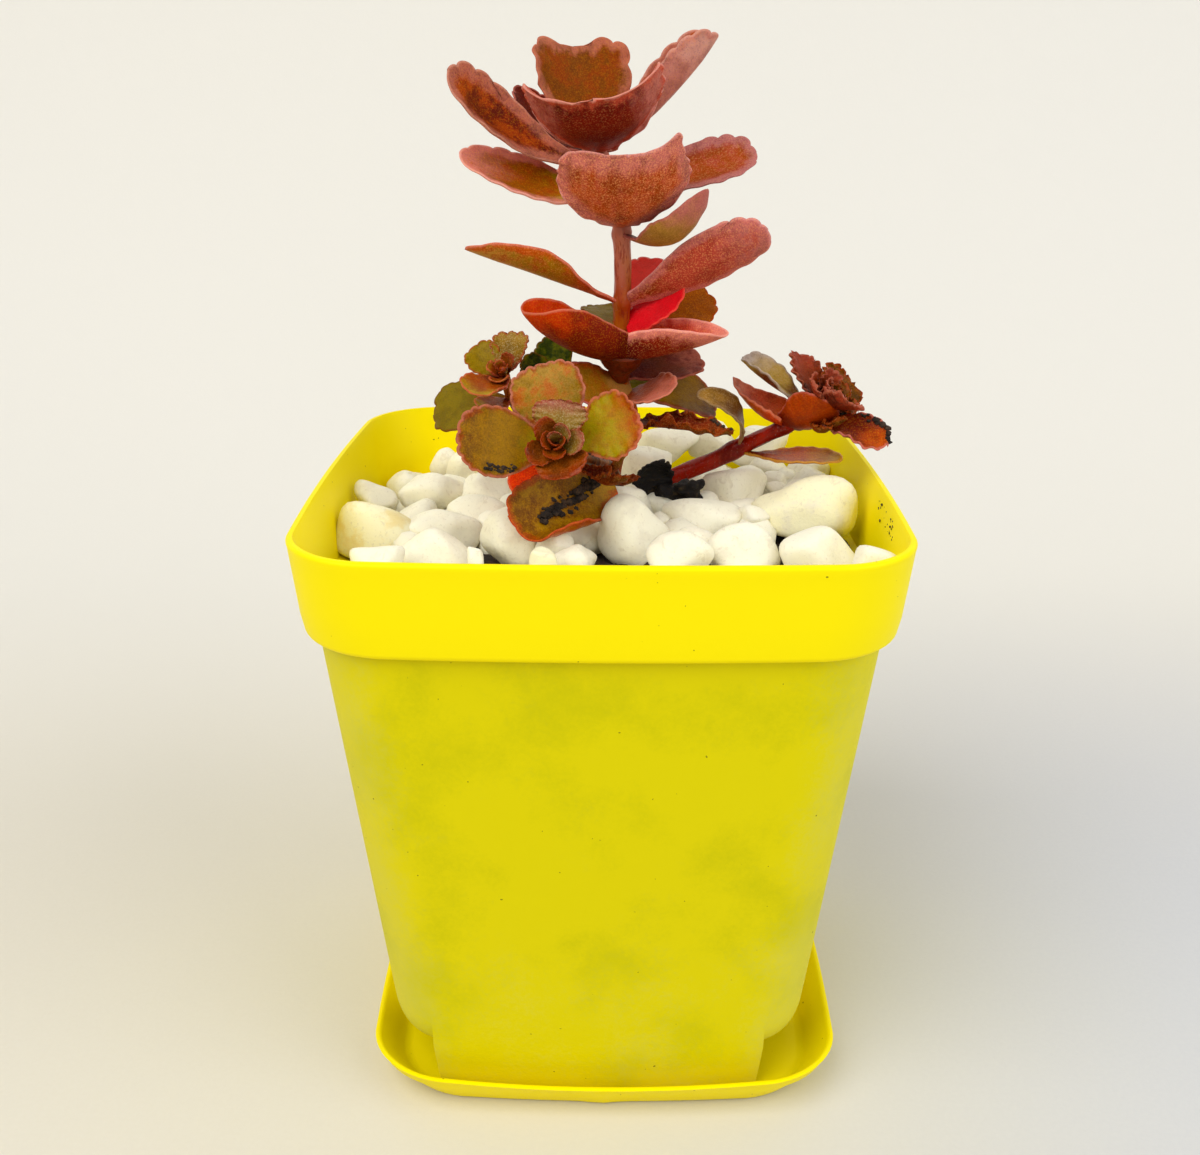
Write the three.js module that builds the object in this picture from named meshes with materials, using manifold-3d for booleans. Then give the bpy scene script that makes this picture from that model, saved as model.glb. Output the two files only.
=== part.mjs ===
// Potted coral reef sedum: a small succulent in a square plastic pot with its saucer.
// Millimetres, +Z up. The origin is on the table, under the middle of the pot. -Y is the front.
// Leaves, stems and pebbles are plain solids here, with a small clearance between neighbours.

import * as THREE from "three";
import { mergeVertices } from "three/addons/utils/BufferGeometryUtils.js";
import Module from "manifold-3d";

const wasm = await Module();
wasm.setup();

// Clearance between pieces that touch
const GAP = 0.3;

// Pot
const RIM_HALF = 40;
const RIM_TOP = 87.4;
const CUFF_HEIGHT = 13;
const CUFF_FOOT_HALF = 38.9;
const BODY_TOP_HALF = 37.3;
const BODY_FOOT_HALF = 30.6;
const SKIRT_FOOT_HALF = 29.8;
const POT_FLOOR_UNDERSIDE = 8.7;
const POT_STAND = 1.5;
const POT_WALL = 1.1;
const RIM_RADIUS = 12;
const FOOT_RADIUS = 9;
const SIDE_BOW = 0.7;
const CORNER_ROUND = 5;
const FRONT_SKIRT_HALF = 24;
const SIDE_SKIRT_HALF = 15;
const SKIRT_TAPER = 1;
const DRAIN_RADIUS = 3;
const DRAIN_SPREAD = 14;

// Saucer
const SAUCER_X = 0.4;
const SAUCER_Y = 0.8;
const SAUCER_RIM_HALF = 35.3;
const SAUCER_BASE_HALF = 32.2;
const SAUCER_RADIUS = 12;
const SAUCER_INNER_RADIUS = 9.5;
const SAUCER_RIM_HEIGHT = 5.6;
const SAUCER_CORNER_LIFT = 1.2;
const SAUCER_FLOOR = 1.2;
const SAUCER_WALL = 1;

// Soil and pebbles: the pebbles lie higher at the front and at the right
const PEBBLE_TOP_MIDDLE = 83.6;
const PEBBLE_RISE_RIGHT = 0.05;
const PEBBLE_FALL_BACK = 0.075;
const PEBBLE_DEPTH = 11.5;
const BED_THICKNESS = 7.5;
const SOIL_EDGE_HEIGHT = 68;

const SIDE_STEPS = 4;
const CORNER_STEPS = 5;
const LEAF_THICKNESS = 1.1;
const LEAF_EDGE_THICKNESS = 0.5;
const PETIOLE_SHARE = 0.17;
const WIDEST_AT = 0.62;

const DEGREE = Math.PI / 180;

// Finishes
const COLOURS = {
  yellowPlastic: { color: 0xf2e205, roughness: 0.45 },
  soil: { color: 0x2b1c12, roughness: 1 },
  pebble: { color: 0xf1efe2, roughness: 0.55 },
  bark: { color: 0x241c14, roughness: 0.9 },
  stem: { color: 0x8a4630, roughness: 0.55 },
  redLeaf: { color: 0xa8402f, roughness: 0.5 },
  pinkLeaf: { color: 0xb5584a, roughness: 0.5 },
  scarletLeaf: { color: 0xcf2a1e, roughness: 0.5 },
  brownLeaf: { color: 0x9a5a22, roughness: 0.5 },
  greyLeaf: { color: 0x93705f, roughness: 0.5 },
  oliveLeaf: { color: 0x87802a, roughness: 0.5 },
  greenLeaf: { color: 0x5f7f1f, roughness: 0.5 },
};

const group = new THREE.Group();

function add(name, finish, geometry) {
  const settings = { ...COLOURS[finish], metalness: 0 };
  const mesh = new THREE.Mesh(geometry, new THREE.MeshStandardMaterial(settings));
  mesh.name = name;
  group.add(mesh);
  return mesh;
}

function vector(list) {
  return new THREE.Vector3(...list);
}

// A closed body through rings of as many points each, with a fan over both ends
function loft(rings) {
  const count = rings[0].length;
  const points = rings.flat();
  const faces = [];
  for (let ring = 0; ring + 1 < rings.length; ring++) {
    for (let i = 0; i < count; i++) {
      const a = ring * count + i;
      const b = ring * count + ((i + 1) % count);
      faces.push(a, b, b + count, a, b + count, a + count);
    }
  }
  const lastRing = (rings.length - 1) * count;
  const middles = [rings[0], rings[rings.length - 1]].map(middleOf);
  points.push(...middles);
  for (let i = 0; i < count; i++) {
    const next = (i + 1) % count;
    faces.push(points.length - 2, next, i);
    faces.push(points.length - 1, lastRing + i, lastRing + next);
  }
  const geometry = new THREE.BufferGeometry().setFromPoints(points);
  geometry.setIndex(faces);
  return geometry;
}

function middleOf(ring) {
  const sum = new THREE.Vector3();
  ring.forEach((point) => sum.add(point));
  return sum.divideScalar(ring.length);
}

function solid(geometry) {
  const bare = geometry.clone();
  bare.deleteAttribute("normal");
  bare.deleteAttribute("uv");
  const merged = mergeVertices(bare, 1e-4);
  const vertProperties = new Float32Array(merged.attributes.position.array);
  const triVerts = new Uint32Array(merged.index.array);
  return new wasm.Manifold(new wasm.Mesh({ numProp: 3, vertProperties, triVerts }));
}

function geometryOf(body) {
  const mesh = body.getMesh();
  const geometry = new THREE.BufferGeometry();
  geometry.setAttribute("position", new THREE.BufferAttribute(mesh.vertProperties, 3));
  geometry.setIndex(new THREE.BufferAttribute(mesh.triVerts, 1));
  return geometry;
}

function largestPiece(body) {
  const pieces = body.decompose();
  return pieces.reduce((best, piece) => (piece.volume() > best.volume() ? piece : best));
}

// One outline of the pot or saucer: a square with round corners and sides that bow out a little
function roundedSquare(half, radius, heightAt) {
  const ring = [];
  const straight = half - SIDE_BOW - radius;
  const quarter = [];
  for (let i = 0; i < SIDE_STEPS; i++) {
    const along = -1 + (2 * i) / SIDE_STEPS;
    quarter.push([half - SIDE_BOW * along * along, straight * along]);
  }
  for (let i = 0; i < CORNER_STEPS; i++) {
    const angle = (i / CORNER_STEPS) * 90 * DEGREE;
    quarter.push([straight + radius * Math.cos(angle), straight + radius * Math.sin(angle)]);
  }
  for (let side = 0; side < 4; side++) {
    const turn = side * 90 * DEGREE;
    for (const [x, y] of quarter) {
      const point = new THREE.Vector3(
        x * Math.cos(turn) - y * Math.sin(turn),
        x * Math.sin(turn) + y * Math.cos(turn),
        0,
      );
      point.z = typeof heightAt === "number" ? heightAt : heightAt(point);
      ring.push(point);
    }
  }
  return ring;
}

function between(low, high, share) {
  return low + (high - low) * share;
}

// Half width of the pot's tapered body at a height
function bodyHalf(z) {
  const bodyTop = RIM_TOP - CUFF_HEIGHT;
  const share = (z - POT_FLOOR_UNDERSIDE) / (bodyTop - POT_FLOOR_UNDERSIDE);
  return between(BODY_FOOT_HALF, BODY_TOP_HALF, share);
}

function bodyRadius(z) {
  return between(FOOT_RADIUS, RIM_RADIUS, (z - POT_FLOOR_UNDERSIDE) / (RIM_TOP - POT_FLOOR_UNDERSIDE));
}

function bodyRing(z, inset) {
  return roundedSquare(bodyHalf(z) - inset, bodyRadius(z) - inset, z);
}

// Outside of the body with its round lower edge, as it shows in the notched corners
function roundedFoot() {
  const rings = [];
  for (let i = 0; i <= 3; i++) {
    const angle = (i / 3) * 90 * DEGREE;
    const z = POT_FLOOR_UNDERSIDE + CORNER_ROUND * (1 - Math.cos(angle));
    rings.push(bodyRing(z, 0.8 * CORNER_ROUND * (1 - Math.sin(angle))));
  }
  rings.push(bodyRing(POT_FLOOR_UNDERSIDE + CORNER_ROUND + 4, 0));
  return solid(loft(rings));
}

function cylinder(radius, low, high, x, y) {
  const geometry = new THREE.CylinderGeometry(radius, radius, high - low, 16);
  geometry.rotateX(90 * DEGREE);
  geometry.translate(x, y, (low + high) / 2);
  return solid(geometry);
}

// The notch under one corner of the pot, which leaves a tapered skirt on each side of it
function cornerNotch(signX, signY) {
  const top = POT_FLOOR_UNDERSIDE + CORNER_ROUND;
  const rings = [0, top].map((z) => {
    const inset = SKIRT_TAPER * (1 - z / POT_FLOOR_UNDERSIDE);
    const nearX = FRONT_SKIRT_HALF - Math.max(0, inset);
    const nearY = SIDE_SKIRT_HALF - Math.max(0, inset);
    const corners = [[nearX, nearY], [RIM_HALF, nearY], [RIM_HALF, RIM_HALF], [nearX, RIM_HALF]];
    const ring = corners.map(([x, y]) => new THREE.Vector3(signX * x, signY * y, z));
    return signX * signY > 0 ? ring : ring.reverse();
  });
  return solid(loft(rings));
}

// The space inside the pot, drawn in from its walls by a gap
function potInside(gap) {
  const bodyTop = RIM_TOP - CUFF_HEIGHT;
  const floor = POT_FLOOR_UNDERSIDE + POT_WALL + gap;
  const inset = POT_WALL + gap;
  return solid(
    loft([
      bodyRing(floor, inset + 1.5),
      bodyRing(floor + 1.5, inset),
      bodyRing(bodyTop + inset, inset),
      roundedSquare(CUFF_FOOT_HALF - inset, RIM_RADIUS - inset, bodyTop + inset + 0.5),
      roundedSquare(RIM_HALF - inset, RIM_RADIUS - inset, RIM_TOP - 0.5),
      roundedSquare(RIM_HALF - inset + 0.3, RIM_RADIUS - inset + 0.3, RIM_TOP + 1),
    ]),
  );
}

function potGeometry() {
  const bodyTop = RIM_TOP - CUFF_HEIGHT;
  const outside = solid(
    loft([
      roundedSquare(SKIRT_FOOT_HALF, FOOT_RADIUS - 0.5, POT_STAND),
      bodyRing(POT_FLOOR_UNDERSIDE + CORNER_ROUND, 0),
      bodyRing(bodyTop - 1.5, 0),
      bodyRing(bodyTop, 0),
      roundedSquare(CUFF_FOOT_HALF - 0.5, RIM_RADIUS, bodyTop),
      roundedSquare(CUFF_FOOT_HALF, RIM_RADIUS, bodyTop + 0.6),
      roundedSquare(RIM_HALF, RIM_RADIUS, RIM_TOP - 0.5),
      roundedSquare(RIM_HALF - 0.4, RIM_RADIUS - 0.4, RIM_TOP),
    ]),
  );
  const potFloor = POT_FLOOR_UNDERSIDE + POT_WALL;
  const inside = potInside(0);
  const underside = solid(
    loft([
      roundedSquare(SKIRT_FOOT_HALF - POT_WALL - 0.1, FOOT_RADIUS - 1.5, POT_STAND - 1),
      roundedSquare(BODY_FOOT_HALF - POT_WALL - 0.1, FOOT_RADIUS - 1.5, POT_FLOOR_UNDERSIDE),
    ]),
  );
  let pot = outside;
  const foot = roundedFoot();
  for (const signX of [-1, 1]) {
    for (const signY of [-1, 1]) {
      pot = pot.subtract(cornerNotch(signX, signY).subtract(foot));
    }
  }
  pot = pot.subtract(underside).subtract(inside);
  const holes = [[0, 0]];
  for (let i = 0; i < 4; i++) {
    const angle = (45 + 90 * i) * DEGREE;
    holes.push([DRAIN_SPREAD * Math.cos(angle), DRAIN_SPREAD * Math.sin(angle)]);
  }
  for (const [x, y] of holes) {
    pot = pot.subtract(cylinder(DRAIN_RADIUS, POT_FLOOR_UNDERSIDE - 1, potFloor + 1, x, y));
  }
  return geometryOf(largestPiece(pot));
}

// The saucer's rim rises a little towards its corners
function saucerRimAt(point) {
  const corner = Math.abs(point.x * point.y) / (SAUCER_RIM_HALF * SAUCER_RIM_HALF * 0.8);
  return SAUCER_RIM_HEIGHT + SAUCER_CORNER_LIFT * Math.min(1, corner * corner);
}

function saucerGeometry() {
  const innerBase = SAUCER_BASE_HALF - SAUCER_WALL - 0.2;
  const rings = [
    roundedSquare(SAUCER_BASE_HALF - 0.8, SAUCER_RADIUS, 0),
    roundedSquare(SAUCER_BASE_HALF, SAUCER_RADIUS, 0.8),
    roundedSquare(between(SAUCER_BASE_HALF, SAUCER_RIM_HALF, 0.45), SAUCER_RADIUS, 3),
    roundedSquare(SAUCER_RIM_HALF, SAUCER_RADIUS, saucerRimAt),
    roundedSquare(SAUCER_RIM_HALF - SAUCER_WALL, SAUCER_RADIUS - 1, saucerRimAt),
    roundedSquare(between(innerBase, SAUCER_RIM_HALF - SAUCER_WALL, 0.4), SAUCER_INNER_RADIUS + 0.8, 3.2),
    roundedSquare(innerBase, SAUCER_INNER_RADIUS, SAUCER_FLOOR),
  ];
  return loft(rings).translate(SAUCER_X, SAUCER_Y, 0);
}

function pebbleTop(x, y) {
  return PEBBLE_TOP_MIDDLE + PEBBLE_RISE_RIGHT * x - PEBBLE_FALL_BACK * y;
}

// The outline of the soil's sloping top, or of the same slope raised by a lift
function slopeRing(lift) {
  const inset = POT_WALL + GAP;
  const height = (point) => pebbleTop(point.x, point.y) - PEBBLE_DEPTH + lift;
  return roundedSquare(bodyHalf(SOIL_EDGE_HEIGHT) - inset, bodyRadius(SOIL_EDGE_HEIGHT) - inset, height);
}

function soilSolid() {
  const potFloor = POT_FLOOR_UNDERSIDE + POT_WALL;
  const inset = POT_WALL + GAP;
  const rings = [
    bodyRing(potFloor + GAP, inset + 1.5),
    bodyRing(potFloor + GAP + 1.5, inset),
    slopeRing(0),
  ];
  return solid(loft(rings));
}

// A tapered stem along a smooth curve
function tube({ points, radii, sides = 8, steps = 8, grow = 0 }) {
  const curve = new THREE.CatmullRomCurve3(points.map(vector));
  const frames = curve.computeFrenetFrames(steps, false);
  const rings = [];
  for (let i = 0; i <= steps; i++) {
    const along = i / steps;
    const place = along * (radii.length - 1);
    const index = Math.min(Math.floor(place), radii.length - 2);
    const radius = between(radii[index], radii[index + 1], place - index) + grow;
    const centre = curve.getPointAt(along);
    const ring = [];
    for (let side = 0; side < sides; side++) {
      const angle = (side / sides) * 360 * DEGREE;
      const arm = frames.normals[i].clone().multiplyScalar(Math.cos(angle) * radius);
      arm.addScaledVector(frames.binormals[i], Math.sin(angle) * radius);
      ring.push(arm.add(centre));
    }
    rings.push(ring);
  }
  return solid(loft(rings));
}

function joined(bodies) {
  return bodies.reduce((whole, body) => whole.add(body));
}

// Stems, from the soil upwards. A shoot's last radii make its leaf bud.
const MAIN_STEM = {
  points: [
    [1.5, 12, 62],
    [1.5, 10, 76],
    [1.5, 9, 84],
    [2.4, 7.5, 91.4],
    [2.5, 5, 101.7],
    [2.7, 4, 111.2],
    [2.5, 3, 120.9],
    [1.1, 2.5, 126.8],
    [-0.5, 2, 131.5],
  ],
  radii: [1.2, 1.6, 1.5, 1.4, 1.4, 1.4, 1.3, 0.9],
  steps: 14,
};
const ROOT_COUNT = 4;
const ROOT_REACH = 12;
const FRONT_STEM = {
  points: [[4, 1, 68], [3, 3, 80], [1.5, 2, 86.5], [-0.8, -3, 89.6], [-3.8, -9.5, 92.6], [-6, -15.4, 95.8]],
  radii: [0.9, 1.2, 1.3, 1.3, 1.2, 1.1, 1.6, 0.8],
  steps: 12,
};
const LEFT_STEM = {
  points: [[-8, 10, 68], [-8.5, 9, 82], [-11, 6, 92], [-13.2, 2, 98], [-14, -0.4, 102.6]],
  radii: [0.8, 1, 1, 0.9, 0.8, 0.8, 1.5, 0.9],
  steps: 12,
};
const LEFT_BRANCH = {
  points: [[-9.6, 8, 87.5], [-6.5, 9, 92], [-4.8, 9, 99.6]],
  radii: [0.6, 0.5, 0.5],
  steps: 5,
  sides: 6,
};
const RIGHT_STEM = {
  points: [
    [6, 13, 68],
    [8, 11.5, 79],
    [10.1, 10, 82.9],
    [14.9, 9, 85.6],
    [19.7, 8, 88.3],
    [26.9, 5, 93],
    [31, 2, 96.7],
    [32.2, 1.2, 98.8],
  ],
  radii: [0.9, 1.3, 1.4, 1.35, 1.3, 1.2, 1.1, 1.5, 0.8],
  steps: 14,
};

function mainStem(grow) {
  const parts = [tube({ ...MAIN_STEM, grow })];
  const crown = MAIN_STEM.points[0];
  for (let i = 0; i < ROOT_COUNT; i++) {
    const angle = (20 + (360 / ROOT_COUNT) * i) * DEGREE;
    const points = [0, 0.5, 1].map((share) => [
      crown[0] + ROOT_REACH * share * Math.cos(angle),
      crown[1] + ROOT_REACH * share * Math.sin(angle),
      crown[2] + 3 - 22 * share * share,
    ]);
    parts.push(tube({ points, radii: [0.9, 0.6, 0.35], sides: 6, steps: 4, grow }));
  }
  return joined(parts);
}

function leftStem(grow) {
  return joined([tube({ ...LEFT_STEM, grow }), tube({ ...LEFT_BRANCH, grow })]);
}

// Leaves. base is on the stem's axis and tip is the end of the blade. The upper side looks
// along the shoot's axis, turned about the chord by turn. sag is how far the middle hangs below the
// chord, cup is how far each edge is raised, in degrees, and a high blunt gives a square end.
const SHOOT_AXES = {
  main: [0, 0, 1],
  front: [-0.1, -0.85, 0.52],
  left: [-0.2, -0.6, 0.75],
  right: [0.55, -0.45, 0.7],
};
const LEAVES = [
  // Crown of the main stem
  { name: "crown_left_leaf", finish: "redLeaf", base: [-0.5, 1.4, 129.6], tip: [-20, -3, 141.5],
    width: 10, sag: 3, cup: 50, turn: -45 },
  { name: "crown_back_left_leaf", finish: "brownLeaf", base: [-0.8, 3.4, 131], tip: [-12, 9, 139.2],
    width: 9, sag: 2.2, cup: 45, turn: -10 },
  { name: "crown_back_leaf", finish: "brownLeaf", base: [-0.3, 3, 131], tip: [-4.4, 11, 146],
    width: 14.5, sag: 1.5, cup: 35, blunt: 3.4 },
  { name: "crown_front_leaf", finish: "pinkLeaf", base: [-0.3, 1.4, 130.8], tip: [-1.7, -10, 137],
    width: 23.5, sag: 1.8, cup: 80, turn: 6, blunt: 3 },
  { name: "crown_right_leaf", finish: "redLeaf", base: [-0.2, 2.3, 131], tip: [15, 6, 146],
    width: 10.5, sag: 0.5, cup: 55, turn: 12 },
  // Upper pairs
  { name: "upper_left_leaf", finish: "redLeaf", base: [1, 1.5, 125.4], tip: [-19, -1, 131],
    width: 8.8, sag: 1.6, cup: 40, turn: -30 },
  { name: "upper_front_leaf", finish: "pinkLeaf", base: [2.3, 2, 121.5], tip: [3, -9, 132.3],
    width: 19.5, sag: 2, cup: 45, turn: 4, blunt: 3 },
  { name: "upper_right_leaf", finish: "redLeaf", base: [1.6, 2.8, 126.5], tip: [21, 4, 131.8],
    width: 10, sag: 0.8, cup: 40, turn: 40 },
  { name: "upper_low_right_leaf", finish: "brownLeaf", base: [2.6, 2.6, 119.6], tip: [14.2, -4, 126],
    width: 9, sag: 2.4, cup: 50, turn: -10 },
  // Middle of the main stem
  { name: "middle_left_leaf", finish: "brownLeaf", base: [2.6, 4, 110.8], tip: [-18.6, 0, 118],
    width: 9.5, sag: 0.1, cup: 30, turn: -12, clear: 2 },
  { name: "middle_right_leaf", finish: "pinkLeaf", base: [2.6, 4, 111.2], tip: [22.3, -4, 122.3],
    width: 8.5, sag: 0.2, cup: 25, turn: -50, clear: 2.4 },
  { name: "middle_back_leaf", finish: "scarletLeaf", base: [2.6, 4.8, 109.6], tip: [7.8, 14, 115.5],
    width: 8.5, sag: 0.5, cup: 30 },
  { name: "middle_red_leaf", finish: "scarletLeaf", base: [2.7, 4.2, 105], tip: [11.6, 1.6, 111.6],
    width: 7.6, sag: 0.5, cup: 25, turn: 40, clear: 2.3 },
  { name: "back_brown_leaf", finish: "brownLeaf", base: [2.5, 5.4, 106], tip: [14.5, 12, 112],
    width: 10.5, sag: 0, cup: 20, turn: 30, clear: 1.6 },
  { name: "back_olive_leaf", finish: "oliveLeaf", base: [2.5, 5, 107.5], tip: [-0.4, 14, 111.4],
    width: 7, sag: 0, cup: 20 },
  // Lower pairs
  { name: "lower_left_leaf", finish: "redLeaf", base: [3.6, 2.4, 102.4], tip: [-10.2, -7, 110.6],
    width: 13, sag: 1, cup: 50, turn: -20 },
  { name: "lower_right_leaf", finish: "redLeaf", base: [2.6, 3.4, 100.6], tip: [17.2, -3, 107.4],
    width: 9.5, sag: -1.4, cup: 45, turn: -15 },
  { name: "lower_grey_leaf", finish: "greyLeaf", base: [2.5, 6, 100.6], tip: [14.6, 12, 102.8],
    width: 8, sag: 0.3, cup: 20, turn: 25 },
  { name: "basal_green_leaf", finish: "oliveLeaf", base: [2.4, 6.4, 97.8], tip: [-5.6, -3, 102.6],
    width: 10, sag: 0.5, cup: 30, turn: -50, clear: 2.4 },
  { name: "basal_red_leaf", finish: "brownLeaf", base: [2.6, 6, 97.4], tip: [9.4, -2.4, 99.8],
    width: 8.5, sag: 0, cup: 30, turn: 25, clear: 2.1 },
  { name: "basal_olive_leaf", finish: "oliveLeaf", base: [2.4, 7, 98.2], tip: [17, 10, 94.6],
    width: 9.5, sag: -1.2, cup: 15, turn: 30, clear: 2.3 },
  { name: "withered_leaf", finish: "brownLeaf", base: [2.4, 7, 92.6], tip: [18, -3, 93.8],
    width: 6.5, sag: -1, cup: 60, turn: 20, clear: 2.4 },
  // Front rosette, which looks at the viewer
  { name: "front_top_leaf", finish: "oliveLeaf", base: [-5.2, -13, 94.6], tip: [-7.7, -7, 104.5],
    shoot: "front", width: 11, sag: 0.3, cup: 15, clear: 2.1 },
  { name: "front_inner_leaf", finish: "oliveLeaf", base: [-5.8, -15.2, 95.5], tip: [-5.4, -13.6, 101],
    shoot: "front", width: 7, sag: 0.3, cup: 25 },
  { name: "front_left_leaf", finish: "oliveLeaf", base: [-5, -12.6, 94.2], tip: [-19, -16, 96],
    shoot: "front", width: 9.5, sag: 0.5, cup: 15, clear: 2.6 },
  { name: "front_right_leaf", finish: "oliveLeaf", base: [-5, -12.6, 94.2], tip: [4.8, -14, 99.5],
    shoot: "front", width: 9, sag: 0.5, cup: 15, clear: 1.8 },
  { name: "front_bottom_leaf", finish: "brownLeaf", base: [-5.8, -14.8, 95.2], tip: [-4.8, -20, 92.6],
    shoot: "front", width: 6, sag: 0.3, cup: 30 },
  { name: "resting_leaf", finish: "oliveLeaf", base: [0.6, -1.6, 87.6], tip: [-11.5, -14.4, 85.4],
    shoot: "front", width: 14, sag: 0.8, cup: 35, turn: -12, clear: 2.4 },
  { name: "orange_leaf", finish: "scarletLeaf", base: [0.4, 0.4, 87.4], tip: [-13.3, -0.5, 86.4],
    width: 5.5, sag: 0, cup: 15, turn: -40, clear: 2 },
  // Left rosette and the green leaves under and behind it
  { name: "left_olive_leaf", finish: "oliveLeaf", base: [-14.1, 0.2, 101], tip: [-18.6, 3, 105],
    shoot: "left", width: 4.6, sag: 0.3, cup: 30, clear: 1.6 },
  { name: "left_pale_leaf", finish: "greyLeaf", base: [-13.5, 0.2, 102], tip: [-12, 4, 107],
    shoot: "left", width: 4.6, sag: 0.3, cup: 30 },
  { name: "left_low_leaf", finish: "brownLeaf", base: [-13.9, 0, 101.2], tip: [-18.2, -5, 101],
    shoot: "left", width: 5.5, sag: 0.3, cup: 30 },
  { name: "left_green_leaf", finish: "greenLeaf", base: [-12.8, 2.6, 97], tip: [-24.4, 4, 94.8],
    shoot: "left", width: 6.5, sag: -1, cup: 10, clear: 1.9 },
  { name: "left_dark_leaf", finish: "greenLeaf", base: [-13, 2.2, 97.4], tip: [-17.2, -3, 97.7],
    shoot: "left", width: 4, sag: 0, cup: 15, clear: 2.2 },
  { name: "back_green_leaf", finish: "greenLeaf", base: [-5, 8.6, 97.8], tip: [-12, 6.8, 101.6],
    shoot: "left", width: 5, sag: 0.3, cup: 15, clear: 1.4 },
  { name: "back_tall_green_leaf", finish: "greenLeaf", base: [-4.8, 9.4, 100], tip: [-8.6, 12.2, 104.4],
    shoot: "left", width: 5, sag: 0.3, cup: 15 },
  // Right shoot
  { name: "arching_leaf", finish: "greyLeaf", base: [20.2, 8, 88.4], tip: [13.6, 2.4, 98.2],
    shoot: "right", width: 4.5, sag: -3.4, cup: 30, clear: 2.6 },
  { name: "right_low_leaf", finish: "brownLeaf", base: [21, 7, 88.4], tip: [34.7, 0, 89.4],
    shoot: "right", width: 5, sag: 0.3, cup: 20, clear: 2.3 },
  { name: "fork_left_leaf", finish: "redLeaf", base: [26.8, 5.4, 93], tip: [19.3, 9.6, 99.4],
    shoot: "right", width: 6, sag: 1.5, cup: 35, clear: 2.4 },
  { name: "fork_right_leaf", finish: "redLeaf", base: [27, 4.4, 93], tip: [30.8, -4.5, 98.8],
    shoot: "right", width: 7, sag: 0.8, cup: 35, clear: 2.7 },
  { name: "right_grey_leaf", finish: "greyLeaf", base: [30.4, 2.6, 96.2], tip: [20.4, 7, 102.5],
    shoot: "right", width: 6, sag: 0.3, cup: 25, clear: 1.9 },
  { name: "right_back_leaf", finish: "redLeaf", base: [31.6, 1.8, 97.6], tip: [29.6, 7, 103.6],
    shoot: "right", width: 5.5, sag: 0.3, cup: 30, clear: 1.7 },
  { name: "right_outer_leaf", finish: "brownLeaf", base: [31.6, 1.6, 97.6], tip: [37.3, 6, 99.4],
    shoot: "right", width: 6, sag: 0.3, cup: 30, clear: 1.7 },
  { name: "right_front_leaf", finish: "redLeaf", base: [31.8, 1.2, 97.8], tip: [35, -5, 99.4],
    shoot: "right", width: 5.5, sag: 0.3, cup: 30 },
  { name: "right_crusted_leaf", finish: "brownLeaf", base: [30.8, 2, 95.8], tip: [40.2, -4, 92.6],
    shoot: "right", width: 7, sag: 0, cup: 25, clear: 1.9 },
];

function smoothRise(share) {
  const t = Math.min(1, Math.max(0, share));
  return t * t * (3 - 2 * t);
}

// Width of a blade along its length, as a share of its full width
function bladeShare(along, blunt) {
  const widening = between(PETIOLE_SHARE, 1, smoothRise(along / WIDEST_AT));
  if (along <= WIDEST_AT) {
    return widening;
  }
  const towardsTip = (along - WIDEST_AT) / (1 - WIDEST_AT);
  return widening * Math.pow(1 - Math.pow(towardsTip, blunt), 1 / blunt);
}

const LEAF_STATIONS = [0, 0.2, 0.42, 0.64, 0.82, 0.94, 0.99];
const LEAF_COLUMNS = 4;
const BASE_CLEARANCE = 1.3;

function leafSolid({ base, tip, width, sag, cup, turn = 0, shoot = "main", blunt = 2.4, clear, grow = 0 }) {
  const chord = vector(tip).sub(vector(base));
  const length = chord.length();
  chord.normalize();
  const start = (clear ?? BASE_CLEARANCE) / length;
  const face = vector(SHOOT_AXES[shoot]);
  face.addScaledVector(chord, -face.dot(chord)).normalize().applyAxisAngle(chord, turn * DEGREE);
  const side = new THREE.Vector3().crossVectors(chord, face);
  const rings = [];
  for (const station of LEAF_STATIONS) {
    const along = between(start, 1, station);
    const middle = vector(base).addScaledVector(chord, length * along);
    middle.addScaledVector(face, -4 * sag * along * (1 - along));
    const tangent = chord.clone().multiplyScalar(length).addScaledVector(face, -4 * sag * (1 - 2 * along));
    const normal = new THREE.Vector3().crossVectors(side, tangent).normalize();
    const half = (width / 2) * bladeShare(along, blunt);
    const bend = Math.max(1, cup * smoothRise(along / 0.5)) * DEGREE;
    const taper = 1 - 0.35 * along;
    const upper = [];
    const lower = [];
    for (let column = 0; column <= LEAF_COLUMNS; column++) {
      const across = -1 + (2 * column) / LEAF_COLUMNS;
      const point = middle.clone();
      point.addScaledVector(side, (half * Math.sin(bend * across)) / bend);
      point.addScaledVector(normal, (half * (1 - Math.cos(bend * across))) / bend);
      const thickness = between(LEAF_THICKNESS * taper, LEAF_EDGE_THICKNESS, across * across) + grow;
      if (Math.abs(across) === 1) {
        upper.push(point);
        continue;
      }
      upper.push(point.clone().addScaledVector(normal, thickness / 2));
      lower.push(point.clone().addScaledVector(normal, -thickness / 2));
    }
    rings.push([...upper, ...lower.reverse()]);
  }
  return solid(loft(rings));
}

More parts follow.
